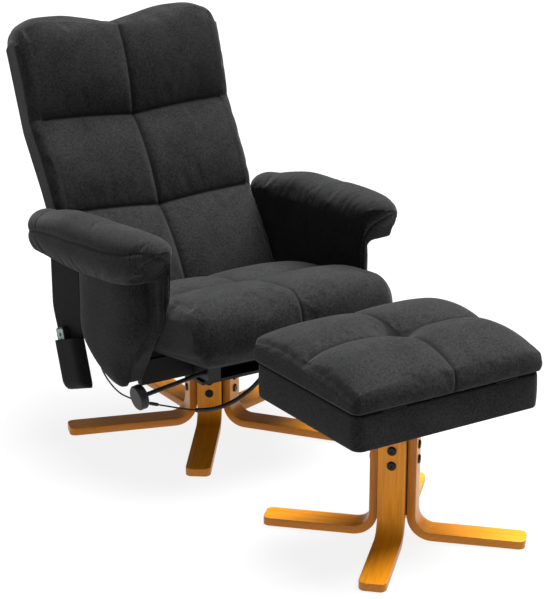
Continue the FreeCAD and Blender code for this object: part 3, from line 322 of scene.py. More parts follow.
class Nodes:
    # One material's node tree, with short forms of the nodes that are used here
    def __init__(self, name):
        self.material = bpy.data.materials.new(name)
        self.material.use_nodes = True
        self.tree = self.material.node_tree
        self.shader = self.tree.nodes["Principled BSDF"]

    def feed(self, socket, value):
        # Links another node's output; a number, vector or colour is set on the socket itself
        if isinstance(value, bpy.types.NodeSocket):
            self.tree.links.new(value, socket)
        elif value is not None:
            socket.default_value = (*value, 1) if socket.type == "RGBA" else value

    def add(self, kind, inputs=None, **settings):
        node = self.tree.nodes.new(kind)
        for key, value in settings.items():
            setattr(node, key, value)
        for key, value in (inputs or {}).items():
            self.feed(node.inputs[key], value)
        return node

    def coordinates(self, scale=(1, 1, 1)):
        place = self.add("ShaderNodeTexCoord").outputs["Object"]
        return self.add("ShaderNodeMapping", {"Vector": place, "Scale": scale}).outputs["Vector"]

    def noise(self, vector, scale, detail, rough, distortion=0.0):
        inputs = {"Vector": vector, "Scale": scale, "Detail": detail, "Roughness": rough,
                  "Distortion": distortion}
        return self.add("ShaderNodeTexNoise", inputs).outputs["Fac"]

    def attribute(self, name, output):
        return self.add("ShaderNodeAttribute", attribute_name=name).outputs[output]

    def ramp(self, factor, *stops):
        node = self.add("ShaderNodeValToRGB", {"Fac": factor})
        elements = node.color_ramp.elements
        while len(elements) < len(stops):
            elements.new(0.5)
        for element, (position, colour) in zip(elements, stops):
            element.position = position
            element.color = (*colour, 1)
        return node.outputs["Color"]

    def math(self, operation, *values):
        return self.add("ShaderNodeMath", dict(enumerate(values)), operation=operation).outputs[0]

    def weighted(self, *terms):
        # Sum of (output, weight) pairs
        total, *others = [self.math("MULTIPLY", *term) for term in terms]
        for other in others:
            total = self.math("ADD", total, other)
        return total

    def mix(self, factor, a, b):
        return self.add("ShaderNodeMix", {0: factor, 6: a, 7: b}, data_type="RGBA").outputs[2]

    def bump(self, height, strength, distance, normal=None):
        inputs = {"Height": height, "Strength": strength, "Distance": distance, "Normal": normal}
        return self.add("ShaderNodeBump", inputs).outputs["Normal"]

    def finish(self, colour, roughness, normal=None, **fixed):
        self.feed(self.shader.inputs["Base Color"], colour)
        self.feed(self.shader.inputs["Roughness"], roughness)
        self.feed(self.shader.inputs["Normal"], normal)
        for key, value in fixed.items():
            self.feed(self.shader.inputs[key.replace("_", " ")], value)
        return self.material


def fabric_material(name, dark, light, sheen):
    # Brushed short-pile cloth: fine weave, mottled pile and broad patches where it was stroked
    n = Nodes(name)
    plain = n.coordinates()
    fibre = n.noise(plain, 1400, 2, 0.7)
    slub = n.noise(n.coordinates((420, 420, 95)), 1.0, 3, 0.6, 0.3)
    cross = n.noise(n.coordinates((110, 150, 460)), 1.0, 3, 0.6, 0.2)
    mottle = n.noise(plain, 190, 4, 0.65, 0.5)
    stroke = n.noise(plain, 11, 3, 0.5, 0.8)
    weave = n.weighted((slub, 0.5), (cross, 0.5))
    tone = n.weighted((mottle, 0.55), (weave, 0.25), (stroke, 0.2))
    middle = tuple((a + b) / 2 for a, b in zip(dark, light))
    colour = n.ramp(tone, (0.42, dark), (0.5, middle), (0.59, light))
    # Painted shade along the seams: the seam attribute darkens the cloth towards near-black in the
    # grooves
    seam = n.math("MULTIPLY", n.attribute("seam", "Fac"), 0.85)
    colour = n.mix(seam, colour, (0.0012, 0.0012, 0.0012))
    normal = n.bump(n.weighted((fibre, 0.35), (weave, 0.65)), 0.55, 0.0011)
    normal = n.bump(mottle, 0.2, 0.002, normal)
    rough = n.math("MULTIPLY_ADD", fibre, 0.1, 0.86)
    return n.finish(colour, rough, normal, Sheen_Weight=sheen, Sheen_Roughness=0.45,
                    Sheen_Tint=(0.72, 0.73, 0.76), Specular_IOR_Level=0.2)


PLY_PAIR_M = 0.003  # thickness of one straight and one crossed layer
PLY_SPLIT = 0.52  # share of the straight layer
PLY_HALF_M = 0.0088  # half the strip without its face veneers


def wood_material(name):
    # Honey-stained bent plywood; the attribute "strip" is through, across and along it, in metres
    n = Nodes(name)
    strip = n.attribute("strip", "Vector")
    through = n.add("ShaderNodeSeparateXYZ", {0: strip}).outputs[0]

    def grained(scale, *values):
        place = n.add("ShaderNodeVectorMath", {0: strip, 1: scale}, operation="MULTIPLY")
        return n.noise(place.outputs[0], 1.0, *values)

    grain = grained((90, 150, 7), 6, 0.65, 0.35)
    pores = grained((900, 1400, 45), 2, 0.6)
    tint = grained((12, 26, 3.5), 3, 0.5, 0.4)
    fleck = grained((900, 500, 500), 3, 0.6)
    face = n.ramp(grain, (0.3, (0.58, 0.178, 0.004)), (0.5, (0.77, 0.262, 0.007)),
                  (0.72, (0.88, 0.34, 0.014)))
    face = n.mix(n.math("MULTIPLY", tint, 0.35), face, (0.88, 0.36, 0.022))
    pitted = n.math("MULTIPLY", n.math("GREATER_THAN", pores, 0.64), 0.25)
    face = n.mix(pitted, face, (0.2, 0.07, 0.012))
    layer = n.math("FRACT", n.math("MULTIPLY", through, 1 / PLY_PAIR_M))
    crossed = n.math("GREATER_THAN", layer, PLY_SPLIT)
    glue = n.math("LESS_THAN", n.math("ABSOLUTE", n.math("SUBTRACT", layer, PLY_SPLIT)), 0.07)
    end_grain = n.ramp(fleck, (0.35, (0.30, 0.085, 0.004)), (0.7, (0.42, 0.135, 0.008)))
    ply = n.mix(crossed, face, end_grain)
    ply = n.mix(n.math("MULTIPLY", glue, 0.45), ply, (0.16, 0.05, 0.006))
    ply = n.mix(0.3, ply, (0.26, 0.08, 0.005))
    inside = n.math("LESS_THAN", n.math("ABSOLUTE", through), PLY_HALF_M)
    colour = n.mix(n.math("MULTIPLY", inside, 0.85), face, ply)
    rough = n.math("MULTIPLY_ADD", grain, 0.16, 0.26)
    normal = n.bump(grain, 0.05, 0.0006, n.bump(pores, 0.12, 0.0004))
    return n.finish(colour, rough, normal, Coat_Weight=0.08, Coat_Roughness=0.2,
                    Specular_IOR_Level=0.26)


def coated_material(name, colour, rough, grain, depth, metallic=0.0, patches=0.35):
    # Paint, plastic or rubber with its own fine grain and slight wear in tone
    n = Nodes(name)
    plain = n.coordinates()
    fine = n.noise(plain, grain, 2, 0.6)
    broad = n.noise(plain, 45, 4, 0.6)
    lighter = tuple(min(1.0, c * (1 + patches) + 0.004) for c in colour)
    tone = n.ramp(n.weighted((broad, 0.6), (fine, 0.4)), (0.36, colour), (0.66, lighter))
    roughness = n.math("MULTIPLY_ADD", broad, 0.14, rough - 0.07)
    return n.finish(tone, roughness, n.bump(fine, 0.35, depth), Metallic=metallic,
                    Specular_IOR_Level=0.3)


def board_material(name, low, high):
    n = Nodes(name)
    grain = n.noise(n.coordinates((9, 120, 160)), 1.0, 5, 0.65, 0.3)
    rough = n.math("MULTIPLY_ADD", grain, 0.2, 0.5)
    return n.finish(n.ramp(grain, (0.3, low), (0.72, high)), rough, n.bump(grain, 0.15, 0.0006),
                    Specular_IOR_Level=0.2)


def sleeve_material(name):
    # Braided sleeve over the cable
    n = Nodes(name)
    braid = n.noise(n.coordinates(), 620, 1, 0.4, 0.2)
    tone = n.ramp(braid, (0.38, (0.006, 0.006, 0.007)), (0.66, (0.035, 0.035, 0.038)))
    return n.finish(tone, 0.62, n.bump(braid, 0.6, 0.0008))


# Slot: colour, roughness, scale and depth of the grain, metallic, how much lighter the patches are
COATINGS = {
    "black_steel": ((0.007, 0.007, 0.0075), 0.5, 1500, 0.0003),
    "bolt_steel": ((0.012, 0.012, 0.014), 0.34, 900, 0.0002, 0.6),
    "plain_steel": ((0.36, 0.36, 0.37), 0.34, 700, 0.0002, 1.0, 0.2),
    "nylon": ((0.50, 0.49, 0.45), 0.5, 500, 0.0002, 0.0, 0.15),
    "black_plastic": ((0.011, 0.011, 0.012), 0.48, 1800, 0.0003),
    "cable_rubber": ((0.008, 0.008, 0.008), 0.55, 900, 0.0002),
    "handset_face": ((0.25, 0.33, 0.33), 0.3, 1600, 0.0001, 0.0, 0.18),
    "button_rubber": ((0.03, 0.03, 0.033), 0.55, 1200, 0.0002),
}
BOARDS = {
    # The painted board is black paint darkened further: partly its own colour, partly painted shade
    # under the seat
    "painted_board": ((0.0022, 0.0022, 0.0022), (0.006, 0.0058, 0.0055)),
    "plywood": ((0.40, 0.27, 0.15), (0.66, 0.49, 0.30)),
}
MATERIALS = {slot: coated_material(slot, *values) for slot, values in COATINGS.items()}
MATERIALS.update((slot, board_material(slot, *tones)) for slot, tones in BOARDS.items())
MATERIALS["bent_wood"] = wood_material("bent_wood")
MATERIALS["charcoal_fabric"] = fabric_material(
    "charcoal_fabric", (0.0024, 0.0024, 0.0025), (0.0165, 0.0166, 0.0169), 0.11)
# The pocket cloth is the charcoal fabric made darker and duller: painted shade, as the pocket hangs
# in shadow
POCKET_SHADED_CLOTH = fabric_material(
    "pocket_fabric_painted_shade", (0.0016, 0.0016, 0.0017), (0.0070, 0.0070, 0.0072), 0.03)
LINING = fabric_material("black_lining", (0.004, 0.004, 0.004), (0.010, 0.010, 0.0105), 0.05)
# Hinges are darker and duller than the black steel: painted shade of the gap under the lid
HINGE_SHADE = coated_material("black_wash", (0.003, 0.003, 0.003), 0.8, 1200, 0.0002)
SLEEVE = sleeve_material("braided_sleeve")


def dress(obj, body, slot, *nodes, material=None):
    obj.data.materials.clear()
    obj.data.materials.append(material or MATERIALS[slot])
    if nodes:
        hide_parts(*nodes)
    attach(obj, body)


for part in frame["record"]["subparts"]:
    solid = frame["nodes"][part["node"]]
    shade = MATERIALS[part["material_slot"]]
    # Hinges take the painted shade of the gap under the lid
    if "hinge" in part["node"]:
        shade = HINGE_SHADE
    # The seat pan takes the near-black board colour as painted shade under the seat; the back board
    # takes it so that its edge below the cover is dark
    elif part["node"] in ("seat_pan", "back_board"):
        shade = MATERIALS["painted_board"]
    solid.data.materials.clear()
    solid.data.materials.append(shade)


# Massage cable: thin lead, braided sleeve with its tie, plug connector, second lead

LEAD_ROUTE = [
    (62, -162, 222), (62, -192, 222), (44, -206, 196), (10, -206, 161), (-36, -203, 132),
    (-88, -200, 117), (-140, -199, 119), (-188, -200, 133), (-226, -199, 147), (-262, -186, 157),
]
TAIL_ROUTE = [
    (-282.02, -178.77, 162.56), (-307.5, -169.57, 169.64), (-313, -128, 168), (-311, -84, 162),
    (-309, -38, 167), (-308, 8, 184), (-308, 36, 215), (-308, 44, 250), (-308, 44, 272),
]
CABLE_RADIUS = 2.0
SLEEVE_RADIUS = 5.5
SLEEVE_END_RADIUS = SLEEVE_RADIUS - 1.4
SLEEVE_ENDS = ((27, -206, 178.5), (-164, -199.5, 126))
TIE_PROFILE = [(0, 5.6), (0.2, 6.7), (1.0, 7.0), (3.2, 7.0), (4.0, 6.7), (4.2, 5.6)]
CONNECTOR_AXIS = (-0.910, 0.329, 0.253)
CONNECTOR_PROFILE = [
    (-3.0, 2.2), (-1.0, 2.6), (0.0, 3.4), (0.6, 4.2), (4.0, 4.3), (4.6, 4.0), (5.4, 4.0),
    (6.0, 4.5), (9.0, 4.5), (9.5, 4.1), (10.5, 4.1), (11.0, 4.5), (15.0, 4.5), (15.5, 4.1),
    (16.5, 4.1), (17.0, 4.4), (20.5, 4.2), (21.6, 3.4), (22.0, 2.6), (24.5, 2.2),
]


def cable_curve(name, route):
    # A cable along a smooth line, and the points of that line in metres
    curve = bpy.data.curves.new(name, "CURVE")
    curve.dimensions = "3D"
    spline = curve.splines.new("NURBS")
    spline.points.add(len(route) - 1)
    for point, place in zip(spline.points, placed(route, CHAIR_Y)):
        point.co = (*place, 1)
    spline.order_u = 3
    spline.use_endpoint_u = True
    spline.resolution_u = 14
    obj = add_object(name, curve)
    bpy.context.view_layer.update()
    graph = bpy.context.evaluated_depsgraph_get()
    line = bpy.data.meshes.new_from_object(obj.evaluated_get(graph))
    path = [v.co.copy() for v in line.vertices]
    bpy.data.meshes.remove(line)
    curve.bevel_depth = CABLE_RADIUS * MM
    curve.bevel_resolution = 4
    curve.use_fill_caps = True
    return obj, path


lead, lead_path = cable_curve("cable_lead", LEAD_ROUTE)
tail, tail_path = cable_curve("cable_tail", TAIL_ROUTE)
first, last = [min(range(len(lead_path)), key=lambda k: (lead_path[k] - Vector(mark)).length)
               for mark in placed(SLEEVE_ENDS, CHAIR_Y)]
sleeve_path = [point / MM for point in lead_path[first:last + 1]]
sleeve_radii = [SLEEVE_RADIUS] * len(sleeve_path)
sleeve_radii[0] = sleeve_radii[-1] = SLEEVE_END_RADIUS
sleeve = tube("cable_sleeve_braid", sleeve_path, sleeve_radii, 0.0, 20)
tie = lathe("cable_tie", TIE_PROFILE, sleeve_path[1], sleeve_path[3] - sleeve_path[1], 0.0, 32)
connector = lathe("cable_plug_connector", CONNECTOR_PROFILE, LEAD_ROUTE[-1], CONNECTOR_AXIS,
                  CHAIR_Y, 24)

dress(lead, "chassis", "cable_rubber", "cable_lead_front", "cable_lead_middle")
dress(tail, "chassis", "cable_rubber", "cable_lead_rear")
dress(sleeve, "chassis", "cable_rubber", "cable_sleeve", material=SLEEVE)
dress(tie, "chassis", "black_plastic")
dress(connector, "chassis", "black_plastic", "cable_connector")


# Bent-wood legs

LEG_THICK = 20.0
LEG_WIDTH = 62.0
LEG_BEND = 38.0
LEG_EDGE = 1.8
LEG_TOP_EDGE = ((0.0, LEG_EDGE), (0.5, 0.6), (1.8, 0.0))  # distance from the top, drop
LEG_TIP_EDGE = 1.5
LEG_TIP_ROUND = 16.0
LEG_TIP_STEPS = (11.5, 7.8, 4.9, 3.0, 1.6, 0.7, 0.2, 0.0)
GRAIN_SHIFT_M = 0.013  # per degree, so that no two legs have the same grain
# Nodes, count, body, distance of the rear face from the axis, top, reach, first angle, shift
LEGS = (
    ("chair_leg_%d", 5, "base", 45.0, 152.0, 377.0, 90, CHAIR_Y),
    ("stool_leg_%d", 4, "footstool", 33.0, 250.0, 300.0, 45, STOOL_Y),
)


def leg_path(flat, top, reach):
    # Places on the strip's middle line, from top to tip: radius, height, lean
    half = LEG_THICK / 2
    heel = LEG_BEND + LEG_THICK
    bend = LEG_BEND + half
    centre = flat + heel
    heights = [top - down for down, _ in LEG_TOP_EDGE] + list(np.linspace(top - 8, heel, 8))
    stations = [(flat + half, z, 0.0) for z in heights]
    stations += [(centre - bend * math.cos(t), heel - bend * math.sin(t), t)
                 for t in np.radians(np.linspace(0, 90, 13)[1:])]
    radii = list(np.linspace(centre + 12, reach - LEG_TIP_ROUND, 14))
    radii += [reach - left for left in LEG_TIP_STEPS]
    return stations + [(r, half, math.pi / 2) for r in radii]


def leg_piece(name, flat, top, reach, degrees, shift):
    stations = leg_path(flat, top, reach)
    cos, sin = math.cos(math.radians(degrees)), math.sin(math.radians(degrees))
    rings = []
    strip = []
    distance = 0.0
    for k, (r, z, turn) in enumerate(stations):
        if k:
            distance += math.hypot(r - stations[k - 1][0], z - stations[k - 1][1])
        left = reach - r if turn > 1.5 else LEG_TIP_ROUND
        narrow = 0.0
        if left < LEG_TIP_ROUND:
            narrow = LEG_TIP_ROUND - math.sqrt(LEG_TIP_ROUND ** 2 - (LEG_TIP_ROUND - left) ** 2)
        drop = LEG_TOP_EDGE[k][1] if k < len(LEG_TOP_EDGE) else 0.0
        if left < LEG_TIP_EDGE:
            drop = LEG_EDGE * (1 - math.sqrt(max(0.0, 1 - (1 - left / LEG_TIP_EDGE) ** 2)))
        ring = []
        for w, t in rounded_rectangle(LEG_WIDTH / 2 - (narrow or drop), LEG_THICK / 2 - drop,
                                      LEG_EDGE, 3, (4, 2)):
            out = r + t * math.cos(turn)
            ring.append((out * cos - w * sin, out * sin + w * cos, z + t * math.sin(turn)))
            strip.append((t * MM, w * MM, distance * MM + degrees * GRAIN_SHIFT_M))
        rings.append(ring)
    obj = ringed(name, rings, shift)
    layer = obj.data.attributes.new("strip", "FLOAT_VECTOR", "POINT")
    layer.data.foreach_set("vector", np.asarray(strip).ravel())
    return obj


for label, count, body, flat, top, reach, first_angle, shift in LEGS:
    for number in range(count):
        node = label % (number + 1)
        angle = first_angle + 360 / count * number
        dress(leg_piece(node + "_wood", flat, top, reach, angle, shift), body, "bent_wood", node)


# Soft pieces: shape, then stuffing by cloth simulation, then seams

STUFFED = []
# Painted seam shade of each soft piece, by point
PAINTED_SEAM_SHADE = {}
PIN_REACH = 9.0  # how far a sewn line holds the cloth beside it
# Pressure, slack of the cloth, and how far a point may move
BACK_STUFFING = (1.8, 0.008, 6.0)
SEAT_STUFFING = (1.6, 0.008, 6.0)
LID_STUFFING = (1.6, 0.008, 4.0)
PAD_STUFFING = (3.0, 0.02, 7.0)
CLOTH = {
    "quality": 4, "mass": 0.25, "tension_stiffness": 12, "compression_stiffness": 12,
    "shear_stiffness": 4, "bending_stiffness": 0.6, "air_damping": 2, "use_pressure": True,
    "vertex_group_mass": "sewn", "pin_stiffness": 1,
}
CLOTH_FRAMES = 20
CACHE_END = 24
SEAM_SHADE_HALF_WIDTH = 3.1  # half width of the painted shade along a seam
PUCKER = 23.0
# Shares across a cushion, closer together at the centre seam and at the edges
CROSS_STEPS = np.unique(np.concatenate((
    np.linspace(-1, 1, 63), [0.0],
    [s * v for s in (-1, 1) for v in (0.006, 0.014, 0.93, 0.95, 0.968, 0.982)])))
EDGE_TURNS = (90, 66, 42, 22, 8)


def stuff(obj, held, gaps, pressure, slack, limit):
    # Lists a piece for the simulation: held points stay, and so do points on seams, by their gap
    pins = [held * 1.0] + [np.clip(1 - gap / PIN_REACH, 0, 1) for gap in gaps]
    STUFFED.append((obj, np.round(np.maximum.reduce(pins), 1), pressure, slack, limit))


def settle():
    # One run of the cloth simulation for all stuffed pieces, then each result becomes its mesh
    if not STUFFED:
        return
    scene = bpy.context.scene
    scene.frame_start = 1
    scene.frame_end = CACHE_END
    for obj, pins, pressure, slack, _ in STUFFED:
        group = obj.vertex_groups.new(name="sewn")
        for weight in np.unique(pins[pins > 0]):
            members = np.nonzero(pins == weight)[0]
            group.add([int(k) for k in members], float(weight), "REPLACE")
        modifier = obj.modifiers.new("stuffing", "CLOTH")
        for key, value in CLOTH.items():
            setattr(modifier.settings, key, value)
        modifier.settings.uniform_pressure_force = pressure
        modifier.settings.shrink_min = -slack
        modifier.settings.effector_weights.gravity = 0
        modifier.collision_settings.use_collision = False
        modifier.collision_settings.use_self_collision = False
        modifier.point_cache.frame_start = 1
        modifier.point_cache.frame_end = CACHE_END
    for number in range(1, CLOTH_FRAMES + 1):
        scene.frame_set(number)
    graph = bpy.context.evaluated_depsgraph_get()
    results = []
    for obj, _, _, _, limit in STUFFED:
        start = vertex_rows(obj.data)
        move = vertex_rows(obj.evaluated_get(graph).data) - start
        size = np.linalg.norm(move, axis=1, keepdims=True)
        held = limit * MM * np.tanh(size / (limit * MM))
        results.append(start + move * held / np.maximum(size, 1e-9))
    for (obj, *_), points in zip(STUFFED, results):
        obj.modifiers.clear()
        obj.vertex_groups.clear()
        set_points(obj, points)
    scene.frame_set(1)


def ripple(along, length):
    # Uneven waves, for tucks along a seam
    turn = 2 * math.pi * np.asarray(along, float) / length
    return (0.6 * np.sin(turn) + 0.4 * np.sin(1.63 * turn + 1.3)
            + 0.25 * np.sin(2.71 * turn + 4.1))


def bell(distance, width):
    return np.exp(-(distance / width) ** 2)


def push(obj, amount):
    # Moves the surface out along its normals
    mesh = obj.data
    set_points(obj, vertex_rows(mesh) + vertex_rows(mesh, "normal") * amount[:, None] * MM)


def sew(obj, gap, along, valley, valley_width=14.0, depth=2.4, width=3.2, tucks=0.5, mark=1.0):
    # A sewn line: a narrow groove in a shallow valley, with small tucks on both sides of it, and
    # painted shade along the groove; mark is how dark that painted shade is
    near, wide = bell(gap, width), bell(gap, valley_width)
    push(obj, tucks * ripple(along, PUCKER) * (wide - near) - depth * near - valley * wide)
    seam_shades = PAINTED_SEAM_SHADE.setdefault(obj.name, np.zeros(len(gap)))
    np.maximum(seam_shades, mark * bell(gap, SEAM_SHADE_HALF_WIDTH), out=seam_shades)


def paint_seam_shade(obj):
    # Stores how strongly each point is darkened by painted seam shade, as the attribute seam
    layer = obj.data.attributes.new("seam", "FLOAT", "POINT")
    layer.data.foreach_set("value", PAINTED_SEAM_SHADE[obj.name])


def path_distance(points, path):
    # Distance of each point to a polyline, and its place along it
    best = np.full(len(points), 1e9)
    place = np.zeros(len(points))
    walked = 0.0
    for a, b in zip(path, path[1:]):
        run = b - a
        length = np.linalg.norm(run)
        share = np.clip((points - a) @ run / length ** 2, 0, 1)
        gap = np.linalg.norm(points - (a + share[:, None] * run), axis=1)
        closer = gap < best
        best = np.where(closer, gap, best)
        place = np.where(closer, walked + share * length, place)
        walked += length
    return best, place


def curve_through(knots, count):
    # Smooth space curve through a few knots
    return softened(resampled(knots, np.linspace(0, 1, count)), max(2, count // 14))


def sewn_steps(count):
    # Shares along a run, closer together at both ends, where seams lie
    inner = np.linspace(0.05, 0.95, count - 5)
    return np.concatenate(([0, 0.009, 0.022], inner, [0.978, 0.991]))


def cross_loops(section, half_of, edge):
    # Sections across the width; the outermost ones are turned in, which rounds the side edges
    def rim(side):
        whole = section(side)
        loops = []
        for t in np.radians(EDGE_TURNS):
            inside = inset_loop(whole, edge * (1 - math.cos(t)))
            loops.append([(side * (half_of(q) - edge + edge * math.sin(t)), *p)
                          for p, q in zip(inside, whole)])
        return loops

    narrower = 1 - edge / half_of(section(-1)[0])
    return rim(-1) + [[(share * (half_of(p) - edge), *p) for p in section(share * narrower)]
                      for share in CROSS_STEPS] + rim(1)[::-1]


class Cushion:
    # Equal loops, each over the top, down a face, along the underside and up a face
    def __init__(self, name, loops, top, face, shift):
        self.obj = lofted(name, loops, top, face, shift)
        self.size = 2 * (top + face)
        places = np.arange(len(self.obj.data.vertices))
        self.ring = places % self.size
        self.body = places < len(loops) * self.size

    def between(self, first, last):
        # Points of the loops from one running index to another
        return self.body & (self.ring >= first) & (self.ring <= last)

    def side_gap(self, half, where):
        # Distance to the lines that lie so far to the left and right of the centre
        across = vertex_rows(self.obj.data)[:, 0] / MM
        return np.where(where, np.abs(np.abs(across) - half), FAR)

    def row_gap(self, index, half, where):
        # Distance to one running index of the loops, so far out from the centre
        points = vertex_rows(self.obj.data) / MM
        loops = points[self.body].reshape(-1, self.size, 3)
        gap = np.full(len(points), FAR)
        gap[self.body] = np.linalg.norm(loops - loops[:, index:index + 1], axis=2).ravel()
        return np.where(where & (np.abs(points[:, 0]) < half), gap, FAR)


# Backrest; its side line has a foot, two seams and a head

BACK_ROWS = (226.0, 257.0, 240.0)
BACK_WAYS = [np.array((math.sin(t), math.cos(t))) for t in np.radians((35.4, 31.6, 17.6))]
BACK_FOOT = np.array((134.0, 331.0))
BACK_HALF = 281.0
BACK_HEAD_HALF = 294.0
BACK_FRONT_WIDER = 9.0
BACK_LOW_WIDER = 2.0
BACK_WIDER_Z = 518.0
BACK_WIDER_RISE = 40.0
BACK_SEAM_RISE = 15.5
BACK_THICK = (78.0, 104.0)
BACK_CROWN = 20.0
BACK_LIFT = 10.0
BACK_DRAW = 12.0
BACK_EAR = 34.0
BACK_TUCK = 27.0
BACK_TOP_CROWN = 14.0
BACK_EDGE = 12.0
# Share of the half width, then shares of crown, lift, ear and draw
BACK_SHARES = [
    (0.0, 0.82, 0.7, 0.05, 0.0), (0.08, 0.9, 0.8, 0.14, 0.0), (0.28, 0.98, 1.0, 0.45, 0.0),
    (0.5, 1.0, 1.0, 0.8, 0.0), (0.75, 0.92, 1.05, 0.88, 0.0), (0.86, 0.8, 1.15, 0.6, 0.0),
    (0.93, 0.65, 1.2, 0.22, 0.2), (1.0, 0.45, 1.0, -0.62, 1.0),
]
BACK_COUNTS = (30, 34, 33)
BACK_FACE = 14
BACK_ROW_HALF = 268.0
BACK_FRONT_SEAM = 264.0
BACK_REAR_SEAM = 262.0


def forward(way):
    return np.array((-way[1], way[0]))


def back_points(rise):
    points = [BACK_FOOT]
    for row, way in zip(BACK_ROWS, BACK_WAYS):
        points.append(points[-1] + way * row)
    points[-1] = points[-1] + BACK_WAYS[-1] * rise
    return points


BACK_LINE = np.array(back_points(0))


def back_half(place):
    # Above the arms the front is wider than the rear
    y, z = place
    share = (z - BACK_FOOT[1]) / (BACK_LINE[-1, 1] - BACK_FOOT[1])
    behind = clamp((y - np.interp(z, BACK_LINE[:, 1], BACK_LINE[:, 0])) / BACK_THICK[0])
    above = clamp((z - BACK_WIDER_Z) / BACK_WIDER_RISE)
    return (BACK_HALF + (BACK_HEAD_HALF - BACK_HALF) * share
            + BACK_FRONT_WIDER * above * (1 - behind) + BACK_LOW_WIDER * (1 - above))


def back_rear(rise):
    low, middle, high = BACK_WAYS
    step = (BACK_THICK[1] - BACK_THICK[0]) / 3
    ways = (low, low + middle, middle + high, high)
    return [point - forward(way / np.linalg.norm(way)) * (BACK_THICK[0] + step * k)
            for k, (point, way) in enumerate(zip(back_points(rise), ways))]


def back_section(share):
    crown, lift, ear, draw = table_row(BACK_SHARES, abs(share))
    rise = ear * BACK_EAR
    ways = BACK_WAYS + BACK_WAYS[-1:]
    front = [p + forward(w) * lift * BACK_LIFT for p, w in zip(back_points(rise), ways)]
    rear = [p + forward(w) * draw * BACK_DRAW for p, w in zip(back_rear(rise), ways)]
    front[0] = front[0] - ways[0] * BACK_TUCK
    for k in (1, 2):
        front[k] = front[k] + ways[k] * BACK_SEAM_RISE * (1 - (1 - abs(share)) ** 2)
    loop = []
    for k, count in enumerate(BACK_COUNTS):
        middle = (front[k] + front[k + 1]) / 2 + forward(ways[k]) * crown * BACK_CROWN
        loop += bow(front[k], middle, front[k + 1], sewn_steps(count))
    top = (front[3] + rear[3]) / 2 + ways[3] * BACK_TOP_CROWN
    loop += bow(front[3], top, rear[3], BACK_FACE)
    for k, count in zip((3, 2, 1), reversed(BACK_COUNTS)):
        loop += straight(rear[k], rear[k - 1], count)
    return np.asarray(loop + straight(rear[0], front[0], BACK_FACE))


back_top = sum(BACK_COUNTS)
back = Cushion("back_cushion_cover", cross_loops(back_section, back_half, BACK_EDGE), back_top,
               BACK_FACE, CHAIR_Y)
relax(back.obj, 4)
back_front = back.between(0, back_top + 0.5 * BACK_FACE) | back.between(back.size - 4, back.size)
back_behind = back.between(back_top + 0.8 * BACK_FACE, back.size - 5)
back_centre = back.side_gap(0, back_front)
back_rows = [back.row_gap(k, BACK_ROW_HALF, back_front)
             for k in (BACK_COUNTS[0], sum(BACK_COUNTS[:2]))]
stuff(back.obj, back_behind | ~back.body, [back_centre, *back_rows], *BACK_STUFFING)


# Seat

SEAT_HALF = 283.0
SEAT_REAR = 126.0
SEAT_DEPTH = 562.0
SEAT_THICK = 150.0
SEAT_CROWN = 26.0
SEAT_LIFT = 9.0
SEAT_DRAW = 16.0
SEAT_FOOT_RISE = 27.0
SEAT_EDGE = 16.0
SLOPE = math.tan(math.radians(7.25))
SEAT_FOOT_Z = 243.0 + 20.05
# Shares of the depth, from the rear, and of the thickness
SEAT_OUTLINE = {
    "foot": (0.955, 0.0), "swell": (1.0, 0.34), "face_top": (0.986, 0.66), "roll": (0.948, 0.90),
    "front_top": (0.846, 0.98), "seam": (0.506, 0.83), "rear_top": (0.02, 0.53),
    "rear_foot": (0.0, 0.0),
}
# Share of the half width, then shares of crown, lift, draw and rise of the front foot
SEAT_SHARES = [
    (0.0, 0.82, 0.75, 0.0, 0.0), (0.08, 0.9, 0.85, 0.0, 0.0), (0.28, 0.98, 1.0, 0.0, 0.0),
    (0.5, 1.0, 1.0, 0.0, 0.0), (0.75, 0.9, 0.7, 0.1, 0.0), (0.86, 0.8, 0.4, 0.22, 0.02),
    (0.93, 0.65, 0.0, 0.42, 0.4), (1.0, 0.4, -0.6, 1.0, 1.0),
]
SEAT_COUNTS = (33, 24, 14)
SEAT_FACE = 17
SEAT_ROW_HALF = 272.0
SEAT_EDGE_SEAM = 256.0
SEAT_EDGE_SEAM_Y = CHAIR_Y - 150.0


def seat_section(share):
    crown, lift, draw, rise = table_row(SEAT_SHARES, abs(share))
    raised = lift * SEAT_LIFT - draw * SEAT_DRAW * 0.3
    back_off = draw * SEAT_DRAW
    foot_rise = rise * SEAT_FOOT_RISE

    def at(name, up, shift):
        u, v = SEAT_OUTLINE[name]
        y = SEAT_REAR - u * SEAT_DEPTH
        return np.array((y + shift, SEAT_FOOT_Z - y * SLOPE + v * SEAT_THICK + up))

    foot, swell = at("foot", foot_rise, back_off), at("swell", foot_rise * 0.5, back_off)
    face_top, roll = at("face_top", raised, back_off), at("roll", raised, back_off)
    front_top, seam = at("front_top", raised, back_off / 2), at("seam", raised, 0)
    rear_top, rear_foot = at("rear_top", raised / 2, 0), at("rear_foot", 0, 0)
    up = np.array((0, crown * SEAT_CROWN))
    loop = bow(rear_top, (rear_top + seam) / 2 + up, seam, sewn_steps(SEAT_COUNTS[0]))
    loop += bow(seam, (seam + front_top) / 2 + up / 2, front_top, sewn_steps(SEAT_COUNTS[1]))
    loop += bow(front_top, roll, face_top, SEAT_COUNTS[2])
    loop += bow(face_top, swell, foot, SEAT_FACE)
    loop += straight(foot, rear_foot, sum(SEAT_COUNTS))
    return np.asarray(loop + straight(rear_foot, rear_top, SEAT_FACE))


